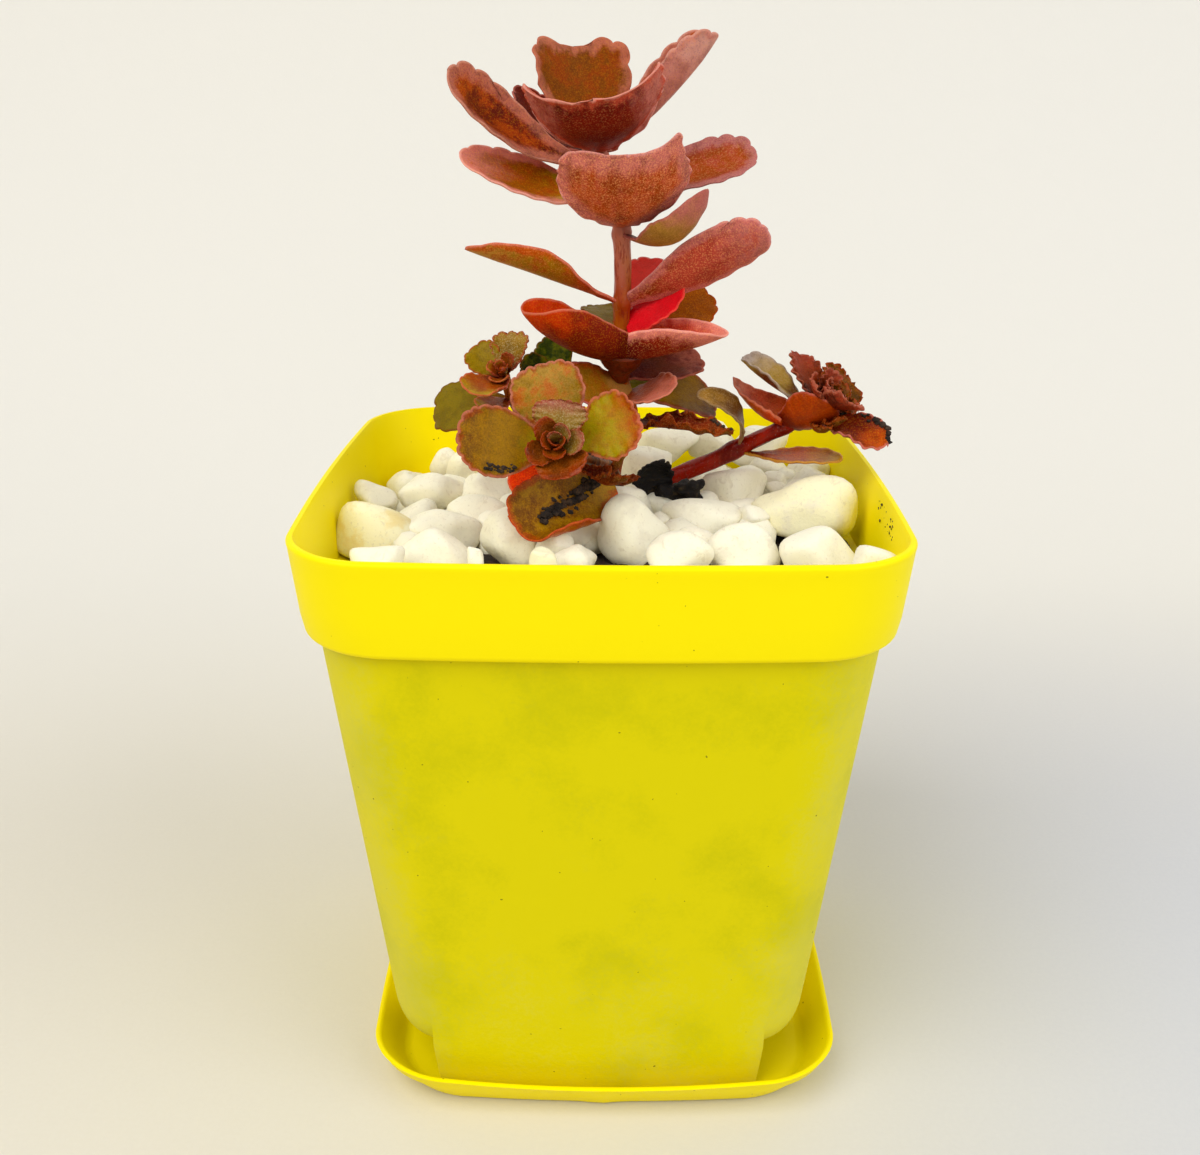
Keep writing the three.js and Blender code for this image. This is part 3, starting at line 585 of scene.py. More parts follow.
def shade_by_angle(piece, degrees):
    """Smooth shading, with an edge left sharp where its faces meet at more than the angle."""
    mesh = bmesh.new()
    mesh.from_mesh(piece.data)
    bmesh.ops.remove_doubles(mesh, verts=mesh.verts, dist=0.00001)
    for face in mesh.faces:
        face.smooth = True
    for edge in mesh.edges:
        edge.smooth = len(edge.link_faces) == 2 and edge.calc_face_angle(0) < math.radians(degrees)
    mesh.to_mesh(piece.data)
    mesh.free()


shade_by_angle(pot, 38)
pot.data.materials.clear()
pot.data.materials.append(yellow_plastic)
declare(pot, ["pot"])
print("pot:", len(pot.data.polygons), "faces")

# %% [markdown]
# ## The saucer
# The saucer is a shallow tray moulded in the same yellow. It could be cut from solids like the pot,
# but it has no holes, so a skin over one run of rings is enough: up the outside, over the lip and down
# the inside. Its rim is a little higher at the corners, and its front wall bulges at one spot.

# %% Make the saucer
SAUCER_X, SAUCER_Y = 0.9, 0.8
SAUCER_HALF, SAUCER_TOP, CORNER_RISE = 35.3, 5.6, 1.2
BULGE_X, BULGE_WIDTH, BULGE_DEPTH = 0.5, 2.2, 0.35
# Half width, corner radius and height of each ring. In the lip the last number is how far the ring
# lies below the top of the rim.
SAUCER_OUTSIDE = [(30.9, 12, 0.0), (31.6, 12, 0.12), (32.2, 12, 0.7), (33.4, 12, 2.8), (34.6, 12, 4.6)]
SAUCER_LIP = [(35.1, 12, 0.5), (SAUCER_HALF, 12, 0.25), (35.2, 11.9, 0.05), (34.9, 11.6, 0),
              (34.6, 11.3, 0.1), (34.3, 11, 0.4)]
SAUCER_INSIDE = [(33.2, 10.6, 4.2), (32.3, 10.3, 3.0), (31.6, 10, 1.9), (31.0, 9.5, 1.35), (30.2, 9, 1.2)]


def saucer_rim(x, y, drop):
    corner = abs(x * y) / (SAUCER_HALF * SAUCER_HALF * 0.8)
    return SAUCER_TOP - drop + CORNER_RISE * min(1, corner * corner)


def make_saucer():
    rings = [rounded_square(*level) for level in SAUCER_OUTSIDE]
    for half, radius, drop in SAUCER_LIP:
        rings.append(rounded_square(half, radius, lambda x, y: saucer_rim(x, y, drop)))
    rings += [rounded_square(*level) for level in SAUCER_INSIDE]
    rings = [np.array(ring) + (SAUCER_X, SAUCER_Y, 0) for ring in rings]
    for ring in rings[:len(SAUCER_OUTSIDE)]:
        on_bulge = np.exp(-(((ring[:, 0] - BULGE_X) / BULGE_WIDTH) ** 2)) * (ring[:, 1] < 0)
        ring[:, 1] -= BULGE_DEPTH * on_bulge
    saucer = loft("saucer", rings, material=saucer_plastic, slot="pot_plastic", nodes=["saucer"])
    shade_by_angle(saucer, 50)
    print("saucer:", len(saucer.data.polygons), "faces")


make_saucer()

# %% [markdown]
# ## Soil
# Potting soil is dark and crumbly, and shows only between the pebbles and through the drain holes. So
# thousands of grains would be wasted: one lumpy solid with a rough, mottled finish is enough.

# %% Make the soil
BED_HEIGHT, BED_SLOPE_X, BED_SLOPE_Y = 83.6, 0.05, -0.075
SOIL_GAP, SOIL_DEPTH = 1.4, 7.2


def pebble_top(x, y):
    """The height to which the pebbles reach."""
    return BED_HEIGHT + BED_SLOPE_X * x + BED_SLOPE_Y * y


def soil_top(x, y):
    lump = math.sin(x * 1.1) * math.cos(y * 0.9) + 0.6 * math.sin(2.3 * x + y)
    return pebble_top(x, y) - SOIL_DEPTH + 0.5 * lump


def soil_finish():
    soil = Finish("soil", {"Roughness": 0.95})
    lumps = soil.noise(1.6, detail=5, rough=0.7)
    soil.feed("Base Color", soil.mix(colour(30, 20, 14), colour(84, 62, 44), soil.step(lumps, 0.4, 0.75)))
    soil.bump(lumps, 0.5)
    return soil.material


def make_soil():
    floor = FLOOR_UNDERSIDE + WALL + 0.3
    rings = [body_ring(floor, 2.9), body_ring(floor + 1.5, SOIL_GAP)]
    rings += [body_ring(40, SOIL_GAP), body_ring(66, SOIL_GAP)]
    half, radius = body_half(68) - SOIL_GAP, body_radius(68) - SOIL_GAP
    for share in (1, 0.93, 0.86, 0.78, 0.7, 0.62, 0.54, 0.46, 0.38, 0.3, 0.22, 0.14, 0.06):
        rings.append(rounded_square(half * share, radius * share, soil_top))
    soil = loft("soil", rings, material=dark_soil, slot="soil", nodes=["soil"])
    print("soil:", len(soil.data.polygons), "faces")


dark_soil = soil_finish()
make_soil()

# %% [markdown]
# ## Pebbles
# The top dressing is a layer of tumbled white stones. They could be dropped in by a physics
# simulation, but then they wouldn't lie where the photograph shows them. So each stone whose outline
# could be made out has its own row. Small stones fill the gaps, and a lower layer carries them. Every
# stone starts as an even ball, gets a few soft flat faces and shallow waves so that no two look alike,
# and is then pressed to its own length, width and height.

# %% Stone finish
PALE_PATCH, GREY_GRAIN = colour(236, 229, 206), colour(216, 206, 182)
TAN_VEIN, YELLOW_STAIN = colour(214, 202, 172), colour(246, 214, 70)


def pebble_finish(name, tint, stain=0.0):
    glow = {"Subsurface Weight": 0.3, "Subsurface Scale": 0.002, "Subsurface Radius": (1.0, 0.95, 0.8)}
    stone = Finish(name, {**glow, "Specular IOR Level": 0.35})
    cloud = stone.noise(3.2, detail=4, rough=0.6)
    grain = stone.noise(0.45, detail=4, rough=0.65)
    vein = stone.noise(2.2, detail=4, rough=0.6, stretch=(1, 0.4, 1), distort=1.2)
    base = stone.mix(tint, PALE_PATCH, stone.step(cloud, 0.48, 0.7) * 0.7)
    base = stone.mix(base, GREY_GRAIN, stone.step(grain, 0.56, 0.72) * 0.5)
    base = stone.mix(base, TAN_VEIN, stone.step(vein, 0.6, 0.7) * 0.4)
    if stain:
        base = stone.mix(base, YELLOW_STAIN, stone.step(cloud, 0.46, 0.66) * stain)
    stone.feed("Base Color", base)
    stone.feed("Roughness", 0.38 + grain * 0.25)
    stone.bump(grain * 0.6 + cloud * 0.4, 0.16)
    return stone.material


white_stone = pebble_finish("white_stone", colour(252, 246, 222))
cream_stone = pebble_finish("cream_stone", colour(252, 244, 204))
stained_stone = pebble_finish("stained_stone", colour(252, 244, 204), stain=0.45)
print("stone finishes:", white_stone.name, cream_stone.name, stained_stone.name)

# %% Where a point of the photograph is
PICTURE_WIDTH, PICTURE_HEIGHT = 1200, 1155
FOCAL_PIXELS = PICTURE_WIDTH * LENS / SENSOR_WIDTH
EYE = np.array(CAMERA_PLACE) / MM
RIGHTWARDS, UPWARDS = (np.array(camera.matrix_world.col[i][:3]) for i in (0, 1))
BACKWARDS = np.array(CAMERA_BACK)


def sight_line(column, row):
    """The way from the camera through one pixel of the photograph."""
    x = (column - PICTURE_WIDTH / 2) / FOCAL_PIXELS
    y = (PICTURE_HEIGHT / 2 - row) / FOCAL_PIXELS
    return RIGHTWARDS * x + UPWARDS * y - BACKWARDS


LEAST_HEIGHT = 2


def stone_row(place, size, turn=0, name="", finish=white_stone, **shape):
    return dict(place=place, size=size, turn=turn, name=name, finish=finish, **shape)


def seen_stone(y, left, right, top, bottom, deep=0.85, **settings):
    """Turns a stone's outline in the photograph, and its depth y in the pot, into a place and a size."""
    way = sight_line((left + right) / 2, (top + bottom) / 2)
    far = (y - EYE[1]) / way[1]
    wide = (right - left) / FOCAL_PIXELS * far
    tall = (bottom - top) / FOCAL_PIXELS * far
    tilt = math.atan2(-way[2], way[1])
    seen_from_above = wide * deep * math.sin(tilt)
    high = math.sqrt(max(LEAST_HEIGHT ** 2, tall ** 2 - seen_from_above ** 2)) / math.cos(tilt)
    return stone_row(EYE + way * far, (wide, wide * deep, high), **settings)


print("at the pot's middle one pixel is", round(-EYE[1] / FOCAL_PIXELS, 3), "mm wide")

# %% Stones that show, from their outlines in the photograph
PEBBLES = [
    seen_stone(-4, left=334, right=432, top=501, bottom=564, finish=stained_stone, deep=0.6,
               name="pebble_yellow_stained"),
    seen_stone(-10, left=479, right=537, top=506, bottom=580, name="pebble_front_left", deep=1.0),
    seen_stone(-9, left=597, right=672, top=492, bottom=584, name="pebble_middle",
               peak=(-0.2, 0, 1, 0.1)),
    seen_stone(9, left=701, right=768, top=466, bottom=532, name="pebble_round", deep=0.9),
    seen_stone(-3, left=753, right=860, top=475, bottom=546, name="pebble_peaked", finish=cream_stone,
               deep=0.6, peak=(0.15, 0, 1, 0.6)),
    seen_stone(-20, left=777, right=864, top=525, bottom=590, name="pebble_front_right", deep=0.75,
               peak=(0.2, 0, 1, 0.1)),
    seen_stone(8, left=355, right=397, top=480, bottom=516),
    seen_stone(19, left=386, right=433, top=470, bottom=503),
    seen_stone(32, left=430, right=460, top=447, bottom=480),
    seen_stone(30, left=446, right=478, top=449, bottom=482),
    seen_stone(13, left=400, right=470, top=471, bottom=518, deep=0.7),
    seen_stone(-3, left=400, right=483, top=510, bottom=558, deep=0.6),
    seen_stone(-15, left=398, right=472, top=528, bottom=592, deep=0.7),
    seen_stone(13, left=460, right=513, top=473, bottom=520),
    seen_stone(-22, left=350, right=404, top=546, bottom=584),
    seen_stone(-13, left=534, right=574, top=529, bottom=562),
    seen_stone(-23, left=529, right=558, top=548, bottom=580, finish=cream_stone),
    seen_stone(-17, left=553, right=597, top=543, bottom=586, deep=1.0),
    seen_stone(-20, left=467, right=484, top=547, bottom=576),
    seen_stone(0, left=588, right=656, top=483, bottom=556, deep=0.7),
    seen_stone(-3, left=662, right=744, top=499, bottom=548, deep=0.65),
    seen_stone(-13, left=669, right=718, top=527, bottom=564),
    seen_stone(-22, left=646, right=714, top=532, bottom=594, deep=0.75),
    seen_stone(-18, left=706, right=779, top=523, bottom=594, deep=0.75, peak=(-0.1, 0, 1, 0.1)),
    seen_stone(-29, left=850, right=902, top=544, bottom=590),
    seen_stone(17, left=760, right=790, top=472, bottom=506),
    seen_stone(25, left=786, right=830, top=457, bottom=492),
    seen_stone(26, left=748, right=790, top=456, bottom=488),
    seen_stone(31, left=636, right=704, top=424, bottom=468, deep=0.7),
    seen_stone(22, left=618, right=672, top=444, bottom=488),
    seen_stone(32, left=688, right=738, top=418, bottom=460, deep=0.8),
    seen_stone(30, left=728, right=788, top=426, bottom=468, deep=0.7),
]
for stone in PEBBLES:
    place, size = stone["place"], stone["size"]
    proud = place[2] + size[2] / 2 - pebble_top(*place[:2])
    print("stone", place.round(1), "stands proud by", round(proud, 1))


# %% Shape of one stone
FACET_SHARPNESS, FACET_COUNT, WAVE_COUNT, WAVE_DEPTH = 10, 12, 6, 0.012


def ball(detail):
    mesh = bmesh.new()
    bmesh.ops.create_icosphere(mesh, subdivisions=detail, radius=1)
    points = np.array([v.co for v in mesh.verts])
    faces = [tuple(v.index for v in face.verts) for face in mesh.faces]
    mesh.free()
    return points, faces


def random_wave(chance, low, high):
    return np.array([chance.uniform(low, high) for _ in range(3)])


def stone_points(place, size, turn, seed, detail, facets=FACET_COUNT, peak=None):
    """A tumbled stone: a few random flat faces, blended until only their soft edges are left."""
    points, faces = BALLS[detail]
    chance = random.Random(seed)
    press = np.ones(len(points)) * 0.12
    for _ in range(facets):
        way = unit([chance.gauss(0, 1) for _ in range(3)])
        press += np.maximum(0, points @ way / chance.uniform(0.7, 0.98)) ** FACET_SHARPNESS
    shaped = points * (press ** (-1 / FACET_SHARPNESS))[:, None]
    if peak:
        lift = np.exp(-6 * (1 - points @ unit(peak[:3])))
        shaped += points * (peak[3] * lift)[:, None]
    for _ in range(WAVE_COUNT):
        wave = random_wave(chance, -6, 6)
        shaped *= 1 + WAVE_DEPTH * np.sin(points @ wave + chance.uniform(0, 6))[:, None]
    shaped *= np.array(size) / np.ptp(shaped, axis=0)
    shaped -= (shaped.max(axis=0) + shaped.min(axis=0)) / 2
    cosine, sine = math.cos(math.radians(turn)), math.sin(math.radians(turn))
    spin = np.array([[cosine, -sine, 0], [sine, cosine, 0], [0, 0, 1]])
    return shaped @ spin.T + np.array(place), faces


BALLS = {detail: ball(detail) for detail in (2, 3, 4)}
print("points of the balls:", [len(points) for points, faces in BALLS.values()])


# %% Small stones that fill the gaps
BED_HALF, BED_CORNER = 36.6, 10.4
FRONT_ROWS = -6
LARGEST_FILLER, SMALL_STONE = 8.5, 6.5
PROP_HEIGHT = 6


def inside_pot(x, y, radius):
    corner = math.hypot(max(0, abs(x) - BED_HALF + BED_CORNER), max(0, abs(y) - BED_HALF + BED_CORNER))
    return max(abs(x), abs(y)) < BED_HALF - radius and corner < BED_CORNER - radius


def view_over_rim(y):
    """The height above which a stone can be seen over the front of the rim."""
    return RIM_TOP - (y + RIM_HALF) * (EYE[2] - RIM_TOP) / (-EYE[1] - RIM_HALF)


def filler_stones(taken, sizes, sink, tries, seed):
    """Stones of falling size, put down at random wherever none of those already taken is in the way."""
    chance = random.Random(seed)
    found = []
    for size in sizes:
        for _ in range(tries):
            x, y = chance.uniform(-35, 35), chance.uniform(-35, 35)
            crowded = any(math.hypot(x - tx, y - ty) < 0.95 * (size / 2 + tr) for tx, ty, tr in taken)
            if crowded or not inside_pot(x, y, size / 2):
                continue
            taken.append((x, y, size / 2))
            height = chance.uniform(0.65, 0.85) * size
            top = pebble_top(x, y) + chance.uniform(-0.9, 0.1) - sink - 0.25 * (LARGEST_FILLER - size)
            if y < FRONT_ROWS:
                top = min(top, view_over_rim(y) - 0.4)
            wide = size * chance.uniform(1, 1.16)
            place = (x, y, top - height / 2)
            found.append(stone_row(place, (wide, size, height), turn=chance.uniform(0, 180)))
    return found


def prop_under(stone):
    """A stone of the lower layer, which carries a small stone."""
    x, y, z = stone["place"]
    width = 1.1 * stone["size"][0]
    top = z - stone["size"][2] / 2 + 0.2 * stone["size"][2]
    return stone_row((x, y, top - PROP_HEIGHT / 2), (width, width, PROP_HEIGHT))


seen = [(stone["place"][0], stone["place"][1], sum(stone["size"][:2]) / 4) for stone in PEBBLES]
fillers = filler_stones(seen, (LARGEST_FILLER, 7.5, 6.5, 5.5, 4.5, 3.5), sink=0, tries=1400, seed=12)
low_stones = filler_stones([], (LARGEST_FILLER, 7, 5.5), sink=2.2, tries=900, seed=5)
low_stones += [prop_under(stone) for stone in PEBBLES + fillers if stone["size"][0] < SMALL_STONE]
print("stones that show:", len(PEBBLES), "fillers:", len(fillers), "lower stones:", len(low_stones))

# %% Make the stones
# The CAD model's small stones are one joined bed, and one stone of this list stands for it.
BED_STONE = 6
for index, stone in enumerate(PEBBLES + fillers + low_stones):
    detail = 4 if index < len(PEBBLES) else 3 if index < len(PEBBLES + fillers) else 2
    shape = {key: value for key, value in stone.items() if key not in ("name", "finish")}
    points, faces = stone_points(seed=100 + index, detail=detail, **shape)
    nodes = ["pebble_bed"] if index == BED_STONE else own_node(stone["name"])
    name = stone["name"] or f"pebble_{index:03d}"
    new_piece(name, points, faces, material=stone["finish"], slot="pebble", nodes=nodes)
print("stones made:", len(PEBBLES + fillers + low_stones))

# %% [markdown]
# ## Leaf skin
# A leaf is fleshy and slightly waxy. Its upper face, its underside and its margin differ in colour,
# and each changes from the base to the tip. A thin pale line on the margin is partly its own colour and
# partly painted rim light. A painted picture could carry all that, but it would need an unwrapped map
# for every leaf. So each point of a leaf stores which face it is on, how near the margin it lies, how
# far along the blade and how far to the side. One function mixes the colours by those numbers, and adds
# the fine pale flecks and dark pits of the skin.

# %% Pigments, as a picture shows them
PIGMENTS = {
    "dark_red": (92, 18, 2),
    "red_brown": (118, 38, 4),
    "chestnut": (146, 60, 6),
    "golden_brown": (136, 72, 3),
    "copper": (176, 72, 30),
    "orange_red": (192, 60, 4),
    "scarlet": (208, 32, 38),
    "coral": (212, 62, 54),
    "rose": (178, 72, 54),
    "mauve": (190, 108, 96),
    "pale_mauve": (204, 136, 124),
    "plum": (96, 32, 30),
    "sand": (188, 132, 84),
    "tan": (178, 130, 56),
    "olive": (152, 108, 3),
    "dark_olive": (116, 72, 2),
    "yellow_green": (164, 148, 8),
    "green": (126, 112, 5),
    "deep_green": (50, 62, 3),
    "grey_brown": (112, 52, 28),
    "grey": (166, 134, 106),
    "gold": (206, 138, 36),
    "pale_gold": (226, 160, 96),
    "white_wax": (224, 200, 170),
}
SHEEN = 0.012


def pigment(name):
    """A leaf colour, less the pale light that the waxy skin throws back."""
    return tuple(max(0.001, value - SHEEN) for value in colour(*PIGMENTS[name]))


print("pigments:", len(PIGMENTS))

# %% Leaf finish
EDGE_REACH = 3.0
DEEP_SHADOW, DEEP_PIT = (0.03, 0.006, 0.001), (0.02, 0.003, 0.001)


def leaf_finish(name, face, under, rim, fleck, flecks=0.5, gloss=0.36, line=0.4, dark=0.5, shine=0.06,
                band=None, band_width=1.8, wings=None, blush=None, tint=(1, 1, 1)):
    """A skin from pigments. The rim is a line along the margin, partly the margin's own colour and partly
    painted rim light, and the band a wider glow inside it.
    """
    skin = Finish(name, {"Subsurface Weight": 0.06, "Subsurface Scale": 0.0008, "IOR": 1.45,
                         "Subsurface Radius": (1.0, 0.35, 0.15), "Specular IOR Level": shine})

    def tinted(name):
        return tuple(share * value for share, value in zip(tint, pigment(name)))

    stored = skin.attribute("leaf", "Color")
    under_side, near_rim, along = (
        skin.node("ShaderNodeSeparateColor", inputs={0: stored}, output=i) for i in range(3))
    cloud = skin.noise(3.0, detail=3, rough=0.6)
    mottle = skin.noise(0.9, detail=3, rough=0.65)
    fine = skin.noise(0.2, detail=2, rough=0.65, distort=0.3)
    streak = skin.blade_noise(long=9, wide=1.6)
    place = along + (cloud - 0.5) * 0.5 + (streak - 0.5) * 0.3
    sides = []
    for low, middle, tip in (face, under):
        side = skin.mix(tinted(low), tinted(middle), skin.step(place, 0.12, 0.46))
        sides.append(skin.mix(side, tinted(tip), skin.step(place, 0.58, 0.96)))
    base = skin.mix(sides[0], sides[1], under_side)
    if wings:
        to_the_side = skin.attribute("leaf", "Alpha") + (cloud - 0.5) * 0.4 + (streak - 0.5) * 0.6
        base = skin.mix(base, tinted(wings), skin.step(to_the_side, 0.3, 0.8) * 0.85)
    if blush:
        base = skin.mix(base, tinted(blush), skin.step(cloud * 0.6 + mottle * 0.4, 0.44, 0.62) * 0.75)
    if band:
        width = band_width / EDGE_REACH
        wavy_rim = near_rim + (mottle - 0.5) * 0.5 + (streak - 0.5) * 0.8
        base = skin.mix(base, tinted(band), skin.step(wavy_rim, 1 - width, 1 - 0.3 * width) * 0.8)
    shadow = skin.step(cloud * 0.5 + mottle * 0.3 + streak * 0.2, 0.54, 0.40)
    base = skin.mix(base, skin.mix(base, DEEP_SHADOW, 0.5), shadow * dark)
    # The rim line: partly the margin's own colour and partly painted rim light.
    width = line / EDGE_REACH
    margin = skin.step(near_rim + (mottle - 0.5) * 0.15, 1 - width, 1 - 0.25 * width)
    base = skin.mix(base, tinted(rim), margin * 0.8)
    grain = skin.step(fine, 0.5, 0.64)
    base = skin.mix(base, tinted(fleck), grain * (0.25 + mottle * 0.75) * flecks)
    pits = skin.step(fine, 0.46, 0.34)
    base = skin.mix(base, skin.mix(base, DEEP_PIT, 0.5), pits * dark)
    skin.feed("Base Color", base)
    skin.feed("Roughness", gloss + mottle * 0.22)
    skin.bump(fine * 0.3 + mottle * 0.7, 0.14)
    return skin.material


# %% Colours of the leaves: upper face and underside from base to tip, margin, flecks
def look(face, under, rim, fleck, **settings):
    return dict(face=face.split(), under=under.split(), rim=rim, fleck=fleck, **settings)


WAXY = dict(gloss=0.24, shine=0.1)
LEAF_LOOKS = {
    "crown_red": look(
        "dark_red red_brown chestnut", "rose mauve pale_mauve", "pale_mauve", "gold",
        flecks=0.35, dark=0.7, band="mauve", band_width=2.2, blush="copper", tint=(1.0, 1.05, 0.9)),
    # Painted shade: the back left crown leaf stands in shade between its neighbours, so its own dark reds
    # are darkened further.
    "crown_dark": look(
        "dark_red dark_red red_brown", "dark_red red_brown mauve", "mauve", "gold",
        flecks=0.2),
    "crown_brown": look(
        "red_brown golden_brown golden_brown", "chestnut copper mauve", "mauve", "gold",
        flecks=0.3, band="mauve", band_width=1.7, blush="chestnut", tint=(1.0, 1.05, 0.8)),
    "crown_bowl": look(
        "dark_red chestnut copper", "rose red_brown dark_red", "pale_mauve", "sand",
        line=0.5, flecks=0.4, band="rose", band_width=1.6, wings="mauve", blush="red_brown",
        tint=(1.25, 1.25, 1.2)),
    "crown_pale": look(
        "chestnut copper copper", "copper mauve pale_mauve", "pale_mauve", "gold",
        flecks=0.3, band="mauve", band_width=1.0, tint=(1.05, 1.2, 1.15)),
    "upper_bowl": look(
        "dark_red chestnut copper", "chestnut copper copper", "pale_mauve", "pale_gold",
        flecks=0.7, dark=0.7, band="mauve", band_width=3.6, blush="copper", tint=(1.2, 1.2, 1.3)),
    "upper_red": look(
        "tan copper copper", "tan copper mauve", "mauve", "pale_gold",
        flecks=0.4, band="mauve", wings="rose", blush="rose", tint=(0.88, 1.05, 1.3)),
    "upper_mauve": look(
        "yellow_green golden_brown mauve", "olive chestnut mauve", "pale_mauve", "gold",
        flecks=0.4, dark=0.3, band="mauve", band_width=1.4, blush="chestnut", tint=(1.45, 1.6, 1.6)),
    "olive_boat": look(
        "plum plum mauve", "sand tan mauve", "mauve", "pale_gold",
        flecks=0.4, dark=0.4, tint=(0.9, 0.85, 0.9)),
    "middle_olive": look(
        "copper tan chestnut", "copper olive tan", "mauve", "pale_gold",
        flecks=0.4, band="copper", band_width=1.2, blush="chestnut", tint=(1.35, 1.3, 1.1)),
    "middle_pink": look(
        "red_brown rose mauve", "chestnut rose mauve", "pale_mauve", "pale_gold",
        flecks=0.6, band="mauve", band_width=1.6, blush="rose", tint=(1.15, 1.1, 1.25)),
    "scarlet": look(
        "scarlet scarlet scarlet", "scarlet coral coral", "coral", "coral",
        flecks=0.3, dark=0.3, gloss=0.3, tint=(1.25, 1.9, 1.8)),
    "coral": look(
        "coral coral coral", "coral coral coral", "pale_mauve", "coral",
        dark=0.3),
    "back_brown": look(
        "red_brown golden_brown golden_brown", "dark_olive dark_olive chestnut", "chestnut", "gold",
        flecks=0.35, tint=(1.5, 1.5, 0.7)),
    "lower_orange": look(
        "copper orange_red orange_red", "dark_red red_brown orange_red", "mauve", "gold",
        flecks=0.35, dark=0.3, tint=(1.2, 1.15, 0.9)),
    "lower_pink": look(
        "copper rose mauve", "dark_red red_brown mauve", "pale_mauve", "pale_gold",
        flecks=0.4, dark=0.3, band="mauve", band_width=1.6, tint=(1.5, 1.5, 1.5)),
    "grey_mauve": look(
        "dark_red grey_brown mauve", "dark_red grey_brown mauve", "mauve", "mauve",
        flecks=0.3, gloss=0.25, shine=0.1, blush="dark_red", tint=(0.9, 0.8, 0.6)),
    "basal_olive": look(
        "tan olive tan", "chestnut olive tan", "mauve", "tan",
        band="copper", band_width=1.6, blush="chestnut", tint=(1.2, 1.05, 1.4), **WAXY),
    "basal_mauve": look(
        "dark_red chestnut mauve", "red_brown grey_brown rose", "pale_mauve", "sand",
        tint=(1.15, 0.95, 0.75), **WAXY),
    "withered": look(
        "dark_red red_brown chestnut", "red_brown chestnut dark_olive", "chestnut", "sand",
        dark=0.9, tint=(1.0, 1.1, 0.9)),
    "rosette_tan": look(
        "yellow_green olive tan", "dark_olive chestnut mauve", "mauve", "sand",
        line=0.45, flecks=0.35, band="chestnut", band_width=0.9, blush="copper", tint=(1.05, 1.2, 1.0),
        **WAXY),
    "rosette_glossy": look(
        "olive tan mauve", "dark_olive chestnut mauve", "rose", "white_wax",
        gloss=0.12, shine=0.3, tint=(0.75, 0.85, 0.6)),
    "rosette_olive": look(
        "yellow_green olive dark_olive", "dark_olive chestnut mauve", "mauve", "gold",
        line=0.45, flecks=0.3, band="chestnut", band_width=0.9, blush="olive", tint=(1.0, 1.05, 0.8),
        **WAXY),
    "rosette_yellow": look(
        "yellow_green yellow_green copper", "dark_olive chestnut mauve", "mauve", "gold",
        line=0.45, flecks=0.3, dark=0.3, band="chestnut", band_width=0.9, blush="olive",
        tint=(1.1, 1.05, 0.75), **WAXY),
    "bud_brown": look(
        "red_brown golden_brown chestnut", "red_brown dark_olive chestnut", "chestnut", "sand",
        line=0.25, flecks=0.25, dark=0.9, gloss=0.14, shine=0.2, tint=(1.1, 1.05, 0.8)),
    "resting": look(
        "olive dark_olive dark_olive", "chestnut copper mauve", "rose", "gold",
        flecks=0.3, band="chestnut", band_width=1.2, blush="olive", tint=(1.25, 1.35, 0.75), **WAXY),
    "orange_red": look(
        "chestnut orange_red orange_red", "orange_red orange_red copper", "mauve", "gold",
        flecks=0.3, tint=(1.6, 1.1, 0.6)),
    "fresh_green": look(
        "olive green green", "dark_olive green olive", "dark_olive", "olive",
        flecks=0.3, tint=(1.1, 1.0, 0.4), **WAXY),
    "deep_green": look(
        "deep_green deep_green deep_green", "deep_green green deep_green", "dark_olive", "green",
        flecks=0.2, blush="green", tint=(1.0, 1.3, 0.45), **WAXY),
    "small_olive": look(
        "red_brown olive olive", "red_brown olive tan", "rose", "tan",
        line=0.3, flecks=0.3, tint=(0.95, 1.3, 0.4), **WAXY),
    "small_pale": look(
        "chestnut olive tan", "grey_brown tan grey", "rose", "white_wax",
        tint=(0.9, 1.0, 0.7), **WAXY),
    "small_brown": look(
        "dark_red chestnut olive", "dark_red chestnut tan", "rose", "tan",
        flecks=0.3, tint=(1.3, 1.7, 1.6), **WAXY),
    "arching": look(
        "red_brown dark_olive tan", "copper olive tan", "grey", "white_wax",
        flecks=0.3, tint=(0.9, 0.9, 0.7), **WAXY),
    "fork_mauve": look(
        "copper rose mauve", "orange_red copper rose", "mauve", "sand",
        flecks=0.3, tint=(1.4, 1.4, 1.0), **WAXY),
    "fork_orange": look(
        "red_brown copper copper", "red_brown copper copper", "mauve", "gold",
        flecks=0.3, tint=(1.05, 0.85, 0.8), **WAXY),
    "ruffle_red": look(
        "dark_red chestnut rose", "dark_red red_brown rose", "mauve", "sand",
        flecks=0.25, dark=0.7, tint=(0.8, 0.7, 0.5), **WAXY),
    "ruffle_olive": look(
        "dark_red dark_olive golden_brown", "red_brown dark_olive chestnut", "rose", "gold",
        flecks=0.25, dark=0.7, tint=(0.8, 0.9, 0.4), **WAXY),
    "stripe_grey": look(
        "grey_brown tan grey", "olive grey_brown tan", "grey", "grey",
        flecks=0.3, tint=(1.25, 1.6, 2.2), **WAXY),
    "low_brown": look(
        "dark_red chestnut olive", "copper chestnut olive", "sand", "gold",
        flecks=0.3, gloss=0.12, shine=0.25, tint=(1.35, 1.4, 0.5)),
    "crusted": look(
        "dark_red red_brown copper", "dark_red chestnut copper", "mauve", "gold",
        flecks=0.4, dark=0.6, tint=(1.15, 1.15, 1.2), **WAXY),
}
LEAF_SKINS = {name: leaf_finish(name + "_skin", **settings) for name, settings in LEAF_LOOKS.items()}
print("leaf skins:", len(LEAF_SKINS))

